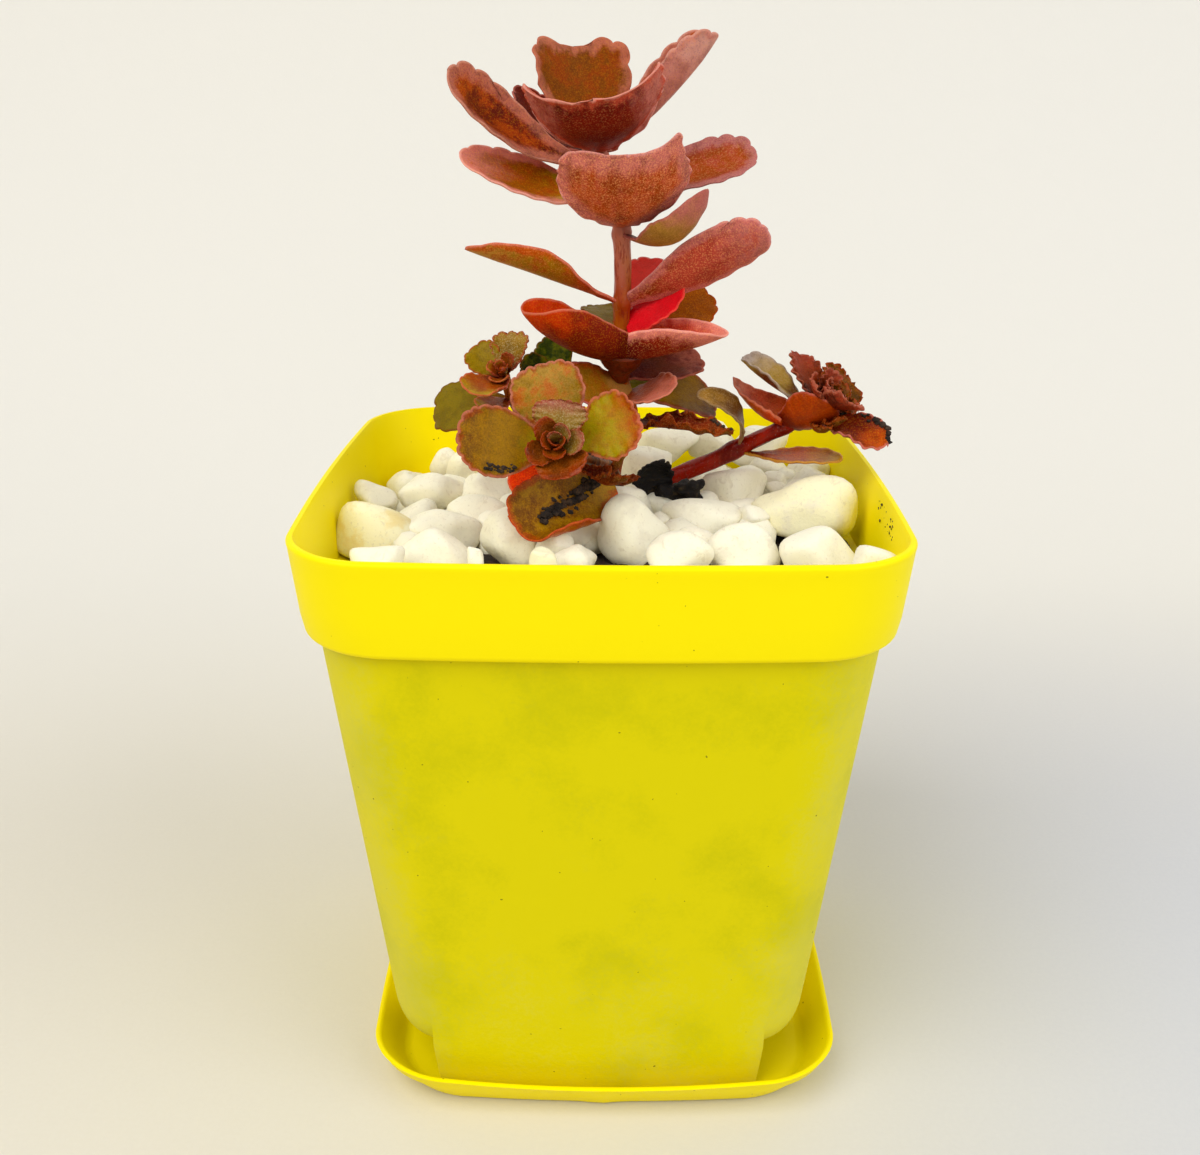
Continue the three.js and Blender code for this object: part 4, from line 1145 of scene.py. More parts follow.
# %% The material slot of each leaf skin
SLOT_SKINS = {
    "red_leaf": "crown_red crown_dark crown_pale upper_red upper_mauve lower_orange lower_pink "
                "fork_mauve fork_orange ruffle_red",
    "pink_leaf": "crown_bowl upper_bowl middle_pink",
    "scarlet_leaf": "scarlet coral orange_red",
    "brown_leaf": "crown_brown olive_boat middle_olive back_brown basal_mauve withered bud_brown "
                  "small_brown ruffle_olive low_brown crusted",
    "olive_leaf": "basal_olive rosette_tan rosette_glossy rosette_olive rosette_yellow resting "
                  "small_olive",
    "green_leaf": "fresh_green deep_green",
    "grey_leaf": "grey_mauve small_pale arching stripe_grey",
}
SLOT_OF_SKIN = {skin: slot for slot, skins in SLOT_SKINS.items() for skin in skins.split()}
print("slots for leaves:", len(SLOT_SKINS))

# %% [markdown]
# ## Leaf shape
# Every leaf is a thin blade between its base on a stem and its tip. The outline widens from a narrow
# stalk, rounds off at the end and carries shallow round teeth along its outer part. A blade could be
# sculpted from a plane, but there are more than seventy of them, so one recipe draws each outline flat
# and then bends it: it sags, curls or sways along its length, and cups, folds or rolls across it.

# %% What a leaf can be told
SHOOT_AXES = {
    "main": (0, 0, 1),
    "front": (-0.1, -0.85, 0.52),
    "left": (-0.2, -0.6, 0.75),
    "right": (0.55, -0.45, 0.7),
}
PLAIN_LEAF = {
    "shoot": "main",
    "sag": 0.3,
    "curl": 0.0,
    "sway": 0.0,
    "cup": 30,
    "fold": 0,
    "roll": 0,
    "turn": 0,
    "clasp": 0.0,
    "blunt": 2.4,
    "widest": 0.62,
    "stalk": 0.17,
    "lean": 0.0,
    "dip": 0.0,
    "teeth": 4,
    "tooth": 0.45,
    "teeth_from": 0.5,
    "horns": ((), ()),
    "ripple": 0.2,
    "thick": 1.15,
    "start": 0.5,
    "rows": 70,
    "columns": 21,
}
print("settings of a leaf:", len(PLAIN_LEAF))

# %% Outline of a blade
STALK_ROWS = 0.36


def blade_outline(shape, start):
    """How far along each rib meets the margin and the midrib, and its half width from 0 to 1."""
    widest, blunt = shape["widest"], shape["blunt"]
    low_rows = int(shape["rows"] * STALK_ROWS)
    low = np.linspace(start, widest, low_rows, endpoint=False)
    angle = np.linspace(0, math.pi / 2, shape["rows"] - low_rows)
    along = np.concatenate([low, widest + (1 - widest) * np.sin(angle) ** (2 / blunt)])
    half = between(shape["stalk"], 1, smooth_rise(along / widest))
    half[low_rows:] *= np.maximum(0, np.cos(angle)) ** (2 / blunt)
    half[-1] = 0
    spine = np.linspace(start, 1, shape["rows"])
    spine = spine * (1 - shape["dip"] * spine ** 6)
    along[low_rows:] -= shape["dip"] * smooth_rise(1 - half[low_rows:] / 0.6)
    return along, spine, half


def margin_lobes(share, teeth, chance):
    """Round lobes with a sharp notch between them, which end on half a lobe at the tip."""
    widths = [chance.uniform(0.75, 1.25) for _ in range(teeth)] + [0.6]
    edges = np.concatenate([[0], np.cumsum(widths)]) / sum(widths)
    lobes = np.zeros(len(share))
    for i, (low, high) in enumerate(zip(edges, edges[1:])):
        inside = (share >= low) & (share <= high)
        place = (share[inside] - low) / (high - low)
        if i == teeth:
            place = place / 2
        tall = chance.uniform(0.75, 1.15)
        lobes[inside] = tall * (4 * place * (1 - place)) ** 0.6
    return lobes - 0.6


def on_side(value, side):
    """What holds for side -1 or 1, from a pair of values or from one value for both sides."""
    return value[0 if side < 0 else 1] if isinstance(value, tuple) else value


def toothed(along, half, shape, length, side, chance):
    """Pushes one margin in and out by its teeth and horns."""
    x, y = along * length, half * side
    way_x, way_y = np.gradient(x), np.gradient(y)
    size = np.maximum(1e-9, np.hypot(way_x, way_y))
    path = np.concatenate([[0], np.cumsum(np.hypot(np.diff(x), np.diff(y)))])
    first = np.interp(shape["teeth_from"], along, path)
    share = np.clip((path - first) / (path[-1] - first), 0, 1)
    lobes = margin_lobes(share, on_side(shape["teeth"], side), chance)
    depth = on_side(shape["tooth"], side) * smooth_rise(share / 0.12) * lobes
    for place, tall, wide in on_side(shape["horns"], side):
        depth = depth + tall * np.exp(-(((share - place) / wide) ** 2))
    return (x - way_y / size * side * depth) / length, y + way_x / size * side * depth


plain_outline = blade_outline(PLAIN_LEAF, 0.05)
print("a plain blade starts", round(float(plain_outline[2][0]), 2), "of its full width wide")


# %% Bending a blade into its place
def turned(vector, axis, degrees):
    angle = math.radians(degrees)
    kept = vector * math.cos(angle) + np.cross(axis, vector) * math.sin(angle)
    return kept + axis * np.dot(axis, vector) * (1 - math.cos(angle))


def cross_section(shape, across, bend):
    """Out and up, in half widths, of points across one rib that is cupped, folded and rolled."""
    fine = np.linspace(0, 1.3, 53)
    slope = np.radians(shape["cup"] * bend * fine + shape["fold"] * bend * (1 - np.exp(-fine / 0.12)))
    slope += np.radians(shape["roll"]) * smooth_rise((fine - 0.62) / 0.4)
    middle = (slope[1:] + slope[:-1]) / 2
    step = fine[1] - fine[0]
    out = np.concatenate([[0], np.cumsum(np.cos(middle)) * step])
    up = np.concatenate([[0], np.cumsum(np.sin(middle)) * step])
    return np.sign(across) * np.interp(np.abs(across), fine, out), np.interp(np.abs(across), fine, up)


def blade_points(shape, along, across):
    """Points on the middle surface of a blade, and the way up from it."""
    base, tip = np.array(shape["base"], float), np.array(shape["tip"], float)
    length = np.linalg.norm(tip - base)
    chord = (tip - base) / length
    face = np.array(SHOOT_AXES[shape["shoot"]], float)
    face = turned(unit(face - chord * np.dot(face, chord)), chord, shape["turn"])
    side = np.cross(chord, face)
    points, rib_normals = np.zeros(along.shape + (3,)), np.zeros(along.shape + (3,))
    half_width = shape["width"] / 2
    for i in range(along.shape[0]):
        a = along[i][:, None]
        curl = np.clip((a - 0.5) / 0.5, 0, 1.4)
        rise = -4 * shape["sag"] * a * (1 - a) + shape["curl"] * curl ** 2
        slope = -4 * shape["sag"] * (1 - 2 * a) + 4 * shape["curl"] * curl
        middle = base + chord * length * a + face * rise + side * shape["sway"] * 4 * a * (1 - a)
        tangent = chord * length + face * slope
        tangent /= np.linalg.norm(tangent, axis=1)[:, None]
        rib_normals[i] = np.cross(side, tangent)
        bend = max(shape["clasp"], float(smooth_rise(np.mean(along[i]) / 0.5)))
        out, up = cross_section(shape, across[i] / half_width, bend)
        points[i] = middle + (side * out[:, None] + rib_normals[i] * up[:, None]) * half_width
    ways_along, ways_across = np.gradient(points, axis=0), np.gradient(points, axis=1)
    normals = np.cross(ways_across, ways_along)
    size = np.linalg.norm(normals, axis=2)[..., None]
    return points, np.where(size > 1e-6, normals / np.maximum(size, 1e-9), rib_normals)


quarter_turn = turned(np.array([1.0, 0, 0]), np.array([0, 0, 1.0]), 90)
print("a quarter turn takes x to", quarter_turn.round(2))

# %% Thickness of a blade
UPPER_SHARE, LOWER_SHARE = 0.4, 0.6
MIDRIB_REACH = 3.5


def edge_distance(along_mm, across, edge_along, edge_across):
    """Distance in millimetres from each point of the flat blade to its margin."""
    gap_x = along_mm[..., None] - edge_along.ravel()
    gap_y = across[..., None] - edge_across.ravel()
    return np.sqrt((gap_x ** 2 + gap_y ** 2).min(axis=-1))


def leaf_arrays(shape):
    """The upper and lower skin of a leaf, with each point's place on the flat blade."""
    chance = random.Random(shape["name"])
    length = np.linalg.norm(np.array(shape["tip"], float) - np.array(shape["base"], float))
    along, spine, half = blade_outline(shape, shape["start"] / length)
    half_width = shape["width"] / 2
    right_a, right_b = toothed(along, half * half_width * (1 + shape["lean"]), shape, length, 1, chance)
    left_a, left_b = toothed(along, half * half_width * (1 - shape["lean"]), shape, length, -1, chance)
    spread = np.sin(np.linspace(-math.pi / 2, math.pi / 2, shape["columns"]))[None, :]
    reach = np.abs(spread)
    middle_a = (spine * (1 + (right_a[-1] / spine[-1] - 1) * spine ** 6))[:, None]
    on_right = spread > 0
    a = middle_a + (np.where(on_right, right_a[:, None], left_a[:, None]) - middle_a) * reach ** 1.8
    b = reach * np.where(on_right, right_b[:, None], left_b[:, None])
    points, normals = blade_points(shape, a, b)
    edge_a, edge_b = np.stack([left_a, right_a]), np.stack([left_b, right_b])
    inside = edge_distance(a * length, b, edge_a * length, edge_b)
    inside[:, 0] = inside[:, -1] = inside[-1] = 0
    wave = np.sin(a * 15 + chance.uniform(0, 6)) * np.sin(a * 27 + chance.uniform(0, 6) + np.sign(b))
    points = points + normals * (shape["ripple"] * wave * reach ** 3)[..., None]
    round_over = 0.3 + 0.02 * shape["width"]
    body = np.sqrt(1 - (1 - np.clip(inside / round_over, 0, 1)) ** 2)
    swell = 0.4 + 0.6 * np.clip(inside / MIDRIB_REACH, 0, 1)
    thick = shape["thick"] * (1 - 0.35 * np.clip(a, 0, 1)) * body * swell
    thick[0] = np.maximum(thick[0], 0.02)
    upper = points + normals * (UPPER_SHARE * thick)[..., None]
    lower = points - normals * (LOWER_SHARE * thick)[..., None]
    return upper, lower, a, b, inside, length


# %% The mesh of one leaf
def leaf_mesh(shape):
    """Points, faces and the stored numbers of one leaf. Both skins share the points of the margin."""
    upper, lower, a, b, inside, length = leaf_arrays(shape)
    rows, columns = a.shape
    count = rows * columns
    points = np.concatenate([upper.reshape(-1, 3), lower[:-1, 1:-1].reshape(-1, 3)])
    top = np.arange(count).reshape(rows, columns)
    under = top.copy()
    under[:-1, 1:-1] = count + np.arange((rows - 1) * (columns - 2)).reshape(rows - 1, columns - 2)
    faces = []
    for i in range(rows - 1):
        for j in range(columns - 1):
            faces.append((top[i, j], top[i + 1, j], top[i + 1, j + 1], top[i, j + 1]))
            faces.append((under[i, j], under[i, j + 1], under[i + 1, j + 1], under[i + 1, j]))
    faces.append([*top[0], *under[0, -2:0:-1]])
    stored = []
    side_share = np.clip(np.abs(b) / (shape["width"] / 2), 0, 1)
    for on_under, pick in ((0, (slice(None), slice(None))), (1, (slice(0, -1), slice(1, -1)))):
        near_rim = np.clip(1 - inside[pick] / EDGE_REACH, 0, 1)
        row = [np.full_like(near_rim, on_under), near_rim, np.clip(a[pick], 0, 1), side_share[pick]]
        stored.append(np.stack(row + [b[pick], a[pick] * length], axis=-1).reshape(-1, 6))
    return points, faces, np.concatenate(stored)


def weld(piece):
    """Joins points that lie in one spot, and drops the faces that this closes."""
    mesh = bmesh.new()
    mesh.from_mesh(piece.data)
    bmesh.ops.remove_doubles(mesh, verts=mesh.verts, dist=0.0000015)
    bmesh.ops.dissolve_degenerate(mesh, edges=mesh.edges, dist=0.0000005)
    bmesh.ops.recalc_face_normals(mesh, faces=mesh.faces)
    mesh.to_mesh(piece.data)
    mesh.free()


BLADES = {}


def make_leaf(shape):
    """Makes one leaf, and keeps the points of its upper skin in BLADES."""
    shape = {**PLAIN_LEAF, **shape}
    name, skin = shape["name"], shape["skin"]
    points, faces, stored = leaf_mesh(shape)
    slot = shape.get("slot", SLOT_OF_SKIN[skin])
    piece = new_piece(name, points, faces, material=LEAF_SKINS[skin], slot=slot, nodes=own_node(name))
    paint(piece, "leaf", stored[:, :4])
    paint(piece, "blade", np.hstack([stored[:, 4:], np.zeros((len(points), 2))]))
    rows, columns = shape["rows"], shape["columns"]
    BLADES[name] = np.array(points[:rows * columns]).reshape(rows, columns, 3)
    weld(piece)


def make_leaves(shoot, leaves):
    for leaf in leaves:
        make_leaf({"shoot": shoot, **leaf})
    print(shoot, "shoot:", len(leaves), "leaves")


# %% [markdown]
# ## The leaves
# Leaves stand in crossed pairs up the main stem. The crown and the upper pairs turn their pink,
# speckled undersides to the viewer, the front rosette shows its olive upper faces, and the smaller
# shoots at the left and the right are younger copies of the same habit. A rule could scatter leaves
# round a stem, but these have to match their outlines, so each leaf has its own row. Where a number is
# missing, the plain leaf's holds.

# %% Crown and upper pairs
CROWN = [
    dict(name="crown_left_leaf", skin="crown_red", base=(-0.5, 1.4, 129.6), tip=(-20, -3, 141.2),
         width=8.8, sag=3.2, cup=44, turn=-45, teeth=(2, 3), tooth=(0.25, 0.5), teeth_from=0.6,
         blunt=2.6, widest=0.66),
    dict(name="crown_back_left_leaf", skin="crown_dark", slot="brown_leaf", base=(-0.8, 3.4, 131),
         tip=(-12, 9, 139.2), width=8, sag=2.2, cup=45, turn=-10, tooth=0.5),
    dict(name="crown_back_leaf", skin="crown_brown", base=(-0.3, 3, 131), tip=(-4.4, 11, 145.6),
         width=15.2, sag=1.5, cup=35, blunt=4.2, widest=0.7, stalk=0.35, teeth=3, tooth=0.7, dip=0.07,
         ripple=0.4),
    dict(name="crown_front_leaf", skin="crown_bowl", base=(-0.4, 1.9, 131.6), tip=(-1.4, -10, 137.8),
         width=22.5, sag=1.3, cup=66, turn=7, blunt=3.6, widest=0.74, stalk=0.12, teeth=3, tooth=0.4,
         ripple=0.6, horns=(((0.4, 0.9, 0.1),), ((0.4, 0.2, 0.1),))),
    dict(name="crown_right_leaf", skin="crown_pale", base=(-0.2, 2.3, 131), tip=(15, 6, 145.8),
         width=9.4, sag=0.8, fold=55, teeth=(3, 4), tooth=(0.6, 0.5), blunt=2.6),
    dict(name="upper_left_leaf", skin="upper_mauve", base=(1, 1.5, 125.4), tip=(-19, -1, 131),
         width=8.6, sag=1.6, cup=36, turn=-34, teeth=(2, 3), tooth=(0.25, 0.45), widest=0.5),
    dict(name="upper_front_leaf", skin="upper_bowl", base=(2.4, 1.9, 121.9), tip=(3, -9.4, 132.0),
         width=20, sag=2.4, cup=50, turn=4, blunt=3.0, stalk=0.25, widest=0.56, teeth=3,
         tooth=(0.2, 0.25), ripple=0.4, horns=(((0.56, 1.9, 0.09),), ((0.5, 0.5, 0.15),)), dip=0.04),
    dict(name="upper_right_leaf", skin="upper_red", base=(1.6, 2.8, 126.5), tip=(20.6, 4, 131.2),
         width=8.6, sag=0.8, cup=36, turn=40, blunt=2.8, teeth=3, tooth=(0.5, 0.3), teeth_from=0.65),
    dict(name="upper_low_right_leaf", skin="olive_boat", base=(2.6, 2.6, 120.6), tip=(14.0, -4, 124.4),
         width=9, sag=2.6, curl=2.6, cup=58, turn=-10, teeth=2, tooth=0.15, widest=0.5, blunt=2),
]
make_leaves("main", CROWN)

# %% Middle and lower pairs of the main stem
MIDDLE = [
    dict(name="middle_left_leaf", skin="middle_olive", base=(2.6, 4, 110.8), tip=(-18.8, 0, 118.7),
         width=9.6, sag=-0.4, cup=66, turn=12, widest=0.55, teeth=2, tooth=0.15, blunt=2),
    dict(name="middle_right_leaf", skin="middle_pink", base=(2.6, 4, 110.8), tip=(21.7, -4, 121.8),
         width=8.1, sag=0.5, turn=-58, blunt=2.7, teeth=(2, 3), tooth=(0.12, 0.4), stalk=0.25,
         teeth_from=0.75),
    dict(name="middle_back_leaf", skin="coral", base=(3.2, 4.8, 109.6), tip=(8.0, 14, 115.8), width=8.4,
         sag=0.5, blunt=3),
    dict(name="middle_red_leaf", skin="scarlet", base=(2.9, 4.2, 107.6), tip=(11.2, 1.6, 113.9),
         width=8.6, cup=25, turn=44, teeth=3, tooth=(0.1, 0.2), stalk=0.5, blunt=2.6, widest=0.52),
    dict(name="back_brown_leaf", skin="back_brown", base=(2.5, 5.4, 106), tip=(14.5, 12, 112), width=13,
         sag=0, cup=20, turn=34, blunt=3, stalk=0.4, tooth=0.4),
    dict(name="back_olive_leaf", skin="fresh_green", slot="olive_leaf", base=(2.5, 5, 106.6),
         tip=(-0.6, 12.4, 109.2), width=7.6, sag=0, cup=20, tooth=0.35, blunt=3),
    dict(name="lower_left_leaf", skin="lower_orange", base=(3.0, 3.4, 103.2), tip=(-10.6, -6.4, 111.2),
         width=14.6, sag=1.6, cup=112, turn=-4, stalk=0.86, clasp=0.95, widest=0.5, teeth=2, tooth=0.12,
         blunt=2.3, start=0.1),
    dict(name="lower_right_leaf", skin="lower_pink", base=(2.2, 3.2, 103.2), tip=(17.2, -3, 107.8),
         width=12.0, sag=0.4, cup=104, turn=4, stalk=0.9, clasp=0.95, widest=0.3, blunt=1.8, teeth=2,
         tooth=0.1, start=0.1),
    dict(name="lower_grey_leaf", skin="grey_mauve", base=(2.5, 6, 100.6), tip=(14.2, 11, 102.4),
         width=9.4, cup=20, turn=30, blunt=3, stalk=0.4, tooth=0.4),
    dict(name="basal_green_leaf", skin="basal_olive", base=(4.8, 4.4, 97.4), tip=(-5.8, -3.4, 101.4),
         width=8.2, sag=0.5, cup=24, turn=-46, teeth=3, tooth=0.15, stalk=0.7, widest=0.5),
    dict(name="basal_red_leaf", skin="basal_mauve", base=(2.6, 6, 97.4), tip=(9.4, -2.4, 99.4), width=8,
         sag=0, turn=25, tooth=0.3),
    dict(name="basal_olive_leaf", skin="rosette_olive", slot="olive_leaf", base=(2.4, 7, 98.2),
         tip=(17, 10, 94.6), width=9.5, sag=-1.4, cup=15, turn=30, tooth=0.3, stalk=0.35),
    dict(name="withered_leaf", skin="withered", base=(2.4, 7, 92.6), tip=(18, -3, 93.8), width=4.6,
         sag=-1.2, sway=0.8, cup=95, turn=20, ripple=1.2, teeth=(4, 3), tooth=(0.5, 0.9),
         teeth_from=0.3, blunt=1.8),
]
make_leaves("main", MIDDLE)

# %% Front rosette, which looks at the viewer
FRONT = [
    dict(name="front_top_leaf", skin="rosette_tan", base=(-5.2, -13, 94.6), tip=(-8.5, -7, 104.3),
         width=10.2, cup=15, blunt=3, widest=0.6, teeth=6, tooth=0.36, ripple=0.4),
    dict(name="front_inner_leaf", skin="rosette_glossy", base=(-5.8, -15.2, 95.5),
         tip=(-5.4, -13.6, 101), width=7.6, blunt=3, teeth=5, tooth=0.3, ripple=0.4),
    dict(name="front_left_leaf", skin="rosette_olive", base=(-5, -12.6, 94.2), tip=(-19, -16, 96.4),
         width=9.8, sag=0.5, cup=15, blunt=2.7, teeth=6, tooth=0.34, ripple=0.4),
    dict(name="front_right_leaf", skin="rosette_yellow", base=(-5, -12.6, 94.2), tip=(4.6, -14, 99.3),
         width=9.4, sag=0.5, cup=15, blunt=2.8, teeth=5, tooth=0.34, ripple=0.4),
    dict(name="front_bottom_leaf", skin="bud_brown", base=(-5.8, -14.8, 95.2), tip=(-4.6, -20, 92.2),
         width=7.4, cup=36, teeth=3, tooth=0.3, stalk=0.4),
    dict(name="resting_leaf", skin="resting", base=(1.8, -4.4, 87.6), tip=(-12.4, -16.0, 85.8),
         width=11.6, lean=-0.3, sag=0.6, turn=-14, teeth=(4, 5), tooth=(0.25, 0.3), blunt=2.6,
         stalk=0.3, widest=0.5, roll=70, rows=90),
    dict(name="orange_leaf", skin="orange_red", shoot="main", base=(0.4, 0.2, 87.8),
         tip=(-13.4, -2.3, 86.0), width=6.4, sag=0, cup=20, turn=-55, teeth=3, tooth=0.25, blunt=2.8),
]
make_leaves("front", FRONT)

# %% Left rosette and the green leaves round it
LEFT = [
    dict(name="left_olive_leaf", skin="small_olive", base=(-14.1, 0.2, 101), tip=(-18.6, 3, 104.6),
         width=5.4, blunt=3, teeth=3, tooth=0.3, stalk=0.35),
    dict(name="left_pale_leaf", skin="small_pale", base=(-13.8, 0.2, 101.6), tip=(-12.8, 4, 106.6),
         width=5.8, cup=36, blunt=3.4, teeth=3, tooth=0.5, stalk=0.4),
    dict(name="left_low_leaf", skin="small_brown", base=(-13.9, 0, 101.2), tip=(-18.0, -6, 100),
         width=7, cup=40, blunt=2.8, teeth=3, tooth=0.2, stalk=0.4),
    dict(name="left_green_leaf", skin="fresh_green", base=(-12.8, 2.6, 97), tip=(-24.4, 3, 94.8),
         width=8.8, sag=-1, cup=10, blunt=3, teeth=3, tooth=0.4),
    dict(name="left_dark_leaf", skin="small_brown", slot="green_leaf", base=(-13, 2.2, 97.4),
         tip=(-17.2, -3, 97.3), width=4.8, sag=0, cup=15, teeth=2, tooth=0.15),
    dict(name="back_green_leaf", skin="deep_green", base=(-5, 8.6, 97.8), tip=(-12, 6.8, 101.6),
         width=6, cup=15, teeth=3, tooth=0.3),
    dict(name="back_tall_green_leaf", skin="deep_green", base=(-4.8, 9.4, 100), tip=(-8.6, 12.2, 104.4),
         width=6.2, cup=15, teeth=3, tooth=0.3),
]
make_leaves("left", LEFT)

# %% Right shoot
RIGHT = [
    dict(name="arching_leaf", skin="arching", base=(20.2, 8, 88.4), tip=(13.6, 2.4, 98.2), width=4.8,
         sag=-3.4, teeth=2, tooth=0.1),
    dict(name="right_low_leaf", skin="low_brown", base=(21, 7, 88.4), tip=(34.7, 0, 89.4), width=5.4,
         cup=26, teeth=2, tooth=0.1, blunt=2),
    dict(name="fork_left_leaf", skin="fork_mauve", base=(27.4, 5.0, 93.4), tip=(19.3, 8.6, 99.4),
         width=8.4, sag=1.2, cup=72, clasp=0.9, turn=6, blunt=1.4, widest=0.24, stalk=0.7, teeth=2,
         tooth=0.1),
    dict(name="fork_right_leaf", skin="fork_orange", base=(26.8, 4.6, 93.4), tip=(32.6, -2.4, 98.0),
         width=8.6, sag=0.8, cup=66, clasp=0.8, turn=-20, blunt=1.8, widest=0.5, stalk=0.5, teeth=2,
         tooth=0.15),
    dict(name="right_grey_leaf", skin="stripe_grey", base=(30.4, 2.6, 96.2), tip=(20.4, 7, 102.5),
         width=6, fold=25, blunt=3, teeth=3, tooth=0.25),
    dict(name="right_back_leaf", skin="ruffle_red", base=(31.2, 1.8, 97), tip=(28.2, 7, 103.4),
         width=6.4, cup=34, blunt=3, tooth=0.5, ripple=0.6, stalk=0.4),
    dict(name="right_outer_leaf", skin="ruffle_olive", base=(31.6, 1.6, 97.2), tip=(36.0, 6, 99.8),
         width=7.6, blunt=3, tooth=0.5, ripple=0.6, stalk=0.4),
    dict(name="right_front_leaf", skin="ruffle_red", base=(31.4, 1.2, 97.2), tip=(34.6, -5, 98.6),
         width=6.2, cup=44, blunt=3, tooth=0.4, ripple=0.6, stalk=0.4),
    dict(name="right_crusted_leaf", skin="crusted", base=(30.8, 2, 95.8), tip=(40.0, -4, 92.6),
         width=6.6, sag=0, cup=40, turn=20, teeth=3, tooth=0.3, stalk=0.4, ripple=0.5),
]
make_leaves("right", RIGHT)
print("leaves:", len(BLADES))

# %% [markdown]
# ## Young leaves
# At the heart of every rosette the youngest leaves are still folded over the growing point. They
# could have a row each too, but hardly any outline of theirs can be made out, so a rule of growth
# places them: each one follows the last at the golden angle, is a little smaller and stands a little
# steeper.

# %% Hearts of the rosettes
GOLDEN_ANGLE = 137.5
YOUNG_LEAF = dict(start=0.05, cup=55, blunt=2.8, teeth=3, tooth=0.2, stalk=0.5, rows=30, columns=13,
                  ripple=0.15, thick=0.7)
STEEPEST, SMALLEST = 80, 0.45


def rosette_heart(name, shoot, centre, count, length, skins, first, open_angle=50, **shape):
    axis = unit(SHOOT_AXES[shoot])
    arm = unit(np.cross(axis, (0, 1, 0.2)))
    for i in range(count):
        share = i / max(1, count - 1)
        out = turned(arm, axis, first + GOLDEN_ANGLE * i)
        lift = math.radians(between(90 - open_angle, STEEPEST, share))
        reach = length * between(1, SMALLEST, share)
        base = np.array(centre, float) + out * 0.3 + axis * share * 0.6
        tip = base + (out * math.cos(lift) + axis * math.sin(lift)) * reach
        leaf = dict(name=f"{name}_{i + 1}", shoot=shoot, skin=skins[i % len(skins)], base=base, tip=tip,
                    width=reach * 0.95, sag=reach * 0.06)
        make_leaf({**YOUNG_LEAF, **leaf, **shape})


rosette_heart("front_heart", "front", centre=(-5.9, -15.2, 95.3), count=9, length=4.6,
              skins=("bud_brown", "rosette_glossy", "bud_brown"), first=30, open_angle=62)
rosette_heart("left_heart", "left", centre=(-14, 0, 101.3), count=6, length=3.4,
              skins=("small_brown", "bud_brown"), first=80)
rosette_heart("right_heart", "right", centre=(31.6, 1.5, 97.4), count=9, length=5.2,
              skins=("ruffle_red", "ruffle_olive", "ruffle_red"), first=20, open_angle=58,
              tooth=0.4, ripple=0.5)
rosette_heart("crown_heart", "main", centre=(-0.3, 2.2, 131), count=4, length=4,
              skins=("crown_red",), first=45, open_angle=30)
print("leaves and young leaves:", len(BLADES))

# %% [markdown]
# ## Stems
# A stem is round, a little uneven, and swells at each node, where a pair of leaves grows or has fallen
# off. A bevelled curve would give an even pipe, so rings of points are set along a smooth curve and
# each is swelled and dented by a formula. One short tube widens upwards: it is the foot of the lower
# pair, which clasps the main stem.

# %% Stem finish
TOP_STARTS, TOP_FULL = 0.111, 0.121


def stem_finish(name, young, old, streak, top=None, gloss=0.26):
    """Skin of a stem. Above a height, which is given in metres, it may turn to the top colour."""
    skin = Finish(name, {"IOR": 1.45, "Specular IOR Level": 0.25})
    cloud = skin.noise(4, detail=3, rough=0.6, stretch=(1, 1, 0.4))
    line = skin.noise(0.6, detail=3, rough=0.6, stretch=(1, 1, 0.2))
    fine = skin.noise(0.3, detail=2, rough=0.6)
    base = skin.mix(young, old, skin.step(cloud, 0.42, 0.6))
    if top:
        high = skin.step(skin.axis("Z") + (cloud - 0.5) * 0.012, TOP_STARTS, TOP_FULL)
        base = skin.mix(base, top, high * 0.85)
    base = skin.mix(base, streak, skin.step(line, 0.53, 0.66) * 0.7)
    glint = tuple(between(value, 0.5, 0.35) for value in streak)
    base = skin.mix(base, glint, skin.step(fine, 0.62, 0.74) * 0.4)
    skin.feed("Base Color", base)
    skin.feed("Roughness", gloss + line * 0.2)
    skin.bump(line * 0.7 + fine * 0.3, 0.16)
    return skin.material


brown_stem = stem_finish("brown_stem", young=colour(176, 98, 14), old=colour(162, 62, 8),
                         streak=colour(132, 34, 14), top=colour(196, 116, 92))
dark_stem = stem_finish("dark_stem", young=colour(112, 54, 16), old=colour(70, 30, 10),
                        streak=colour(150, 92, 50))
red_stem = stem_finish("red_stem", young=colour(158, 26, 2), old=colour(112, 12, 2),
                       streak=colour(138, 34, 8), gloss=0.14)
clasp_red = stem_finish("clasp_red", young=colour(124, 44, 8), old=colour(92, 26, 4),
                        streak=colour(70, 16, 2))
print("stem finishes:", [m.name for m in (brown_stem, dark_stem, red_stem, clasp_red)])


# %% A tube along a smooth curve
CURVE_STEPS = 24
SWELL, SWELL_REACH = 0.22, 0.8


def smooth_curve(knots, steps):
    """Points of a curve through the knots, evenly spaced."""
    knots = np.array(knots, float)
    knots = np.vstack([2 * knots[0] - knots[1], knots, 2 * knots[-1] - knots[-2]])
    fine = []
    for i in range(1, len(knots) - 2):
        p0, p1, p2, p3 = knots[i - 1:i + 3]
        for t in np.linspace(0, 1, CURVE_STEPS, endpoint=False):
            fine.append(0.5 * (2 * p1 + (p2 - p0) * t + (2 * p0 - 5 * p1 + 4 * p2 - p3) * t ** 2
                               + (3 * p1 - p0 - 3 * p2 + p3) * t ** 3))
    fine.append(knots[-2])
    fine = np.array(fine)
    path = np.concatenate([[0], np.cumsum(np.linalg.norm(np.diff(fine, axis=0), axis=1))])
    even = np.linspace(0, path[-1], steps)
    return np.stack([np.interp(even, path, fine[:, axis]) for axis in range(3)], axis=1)


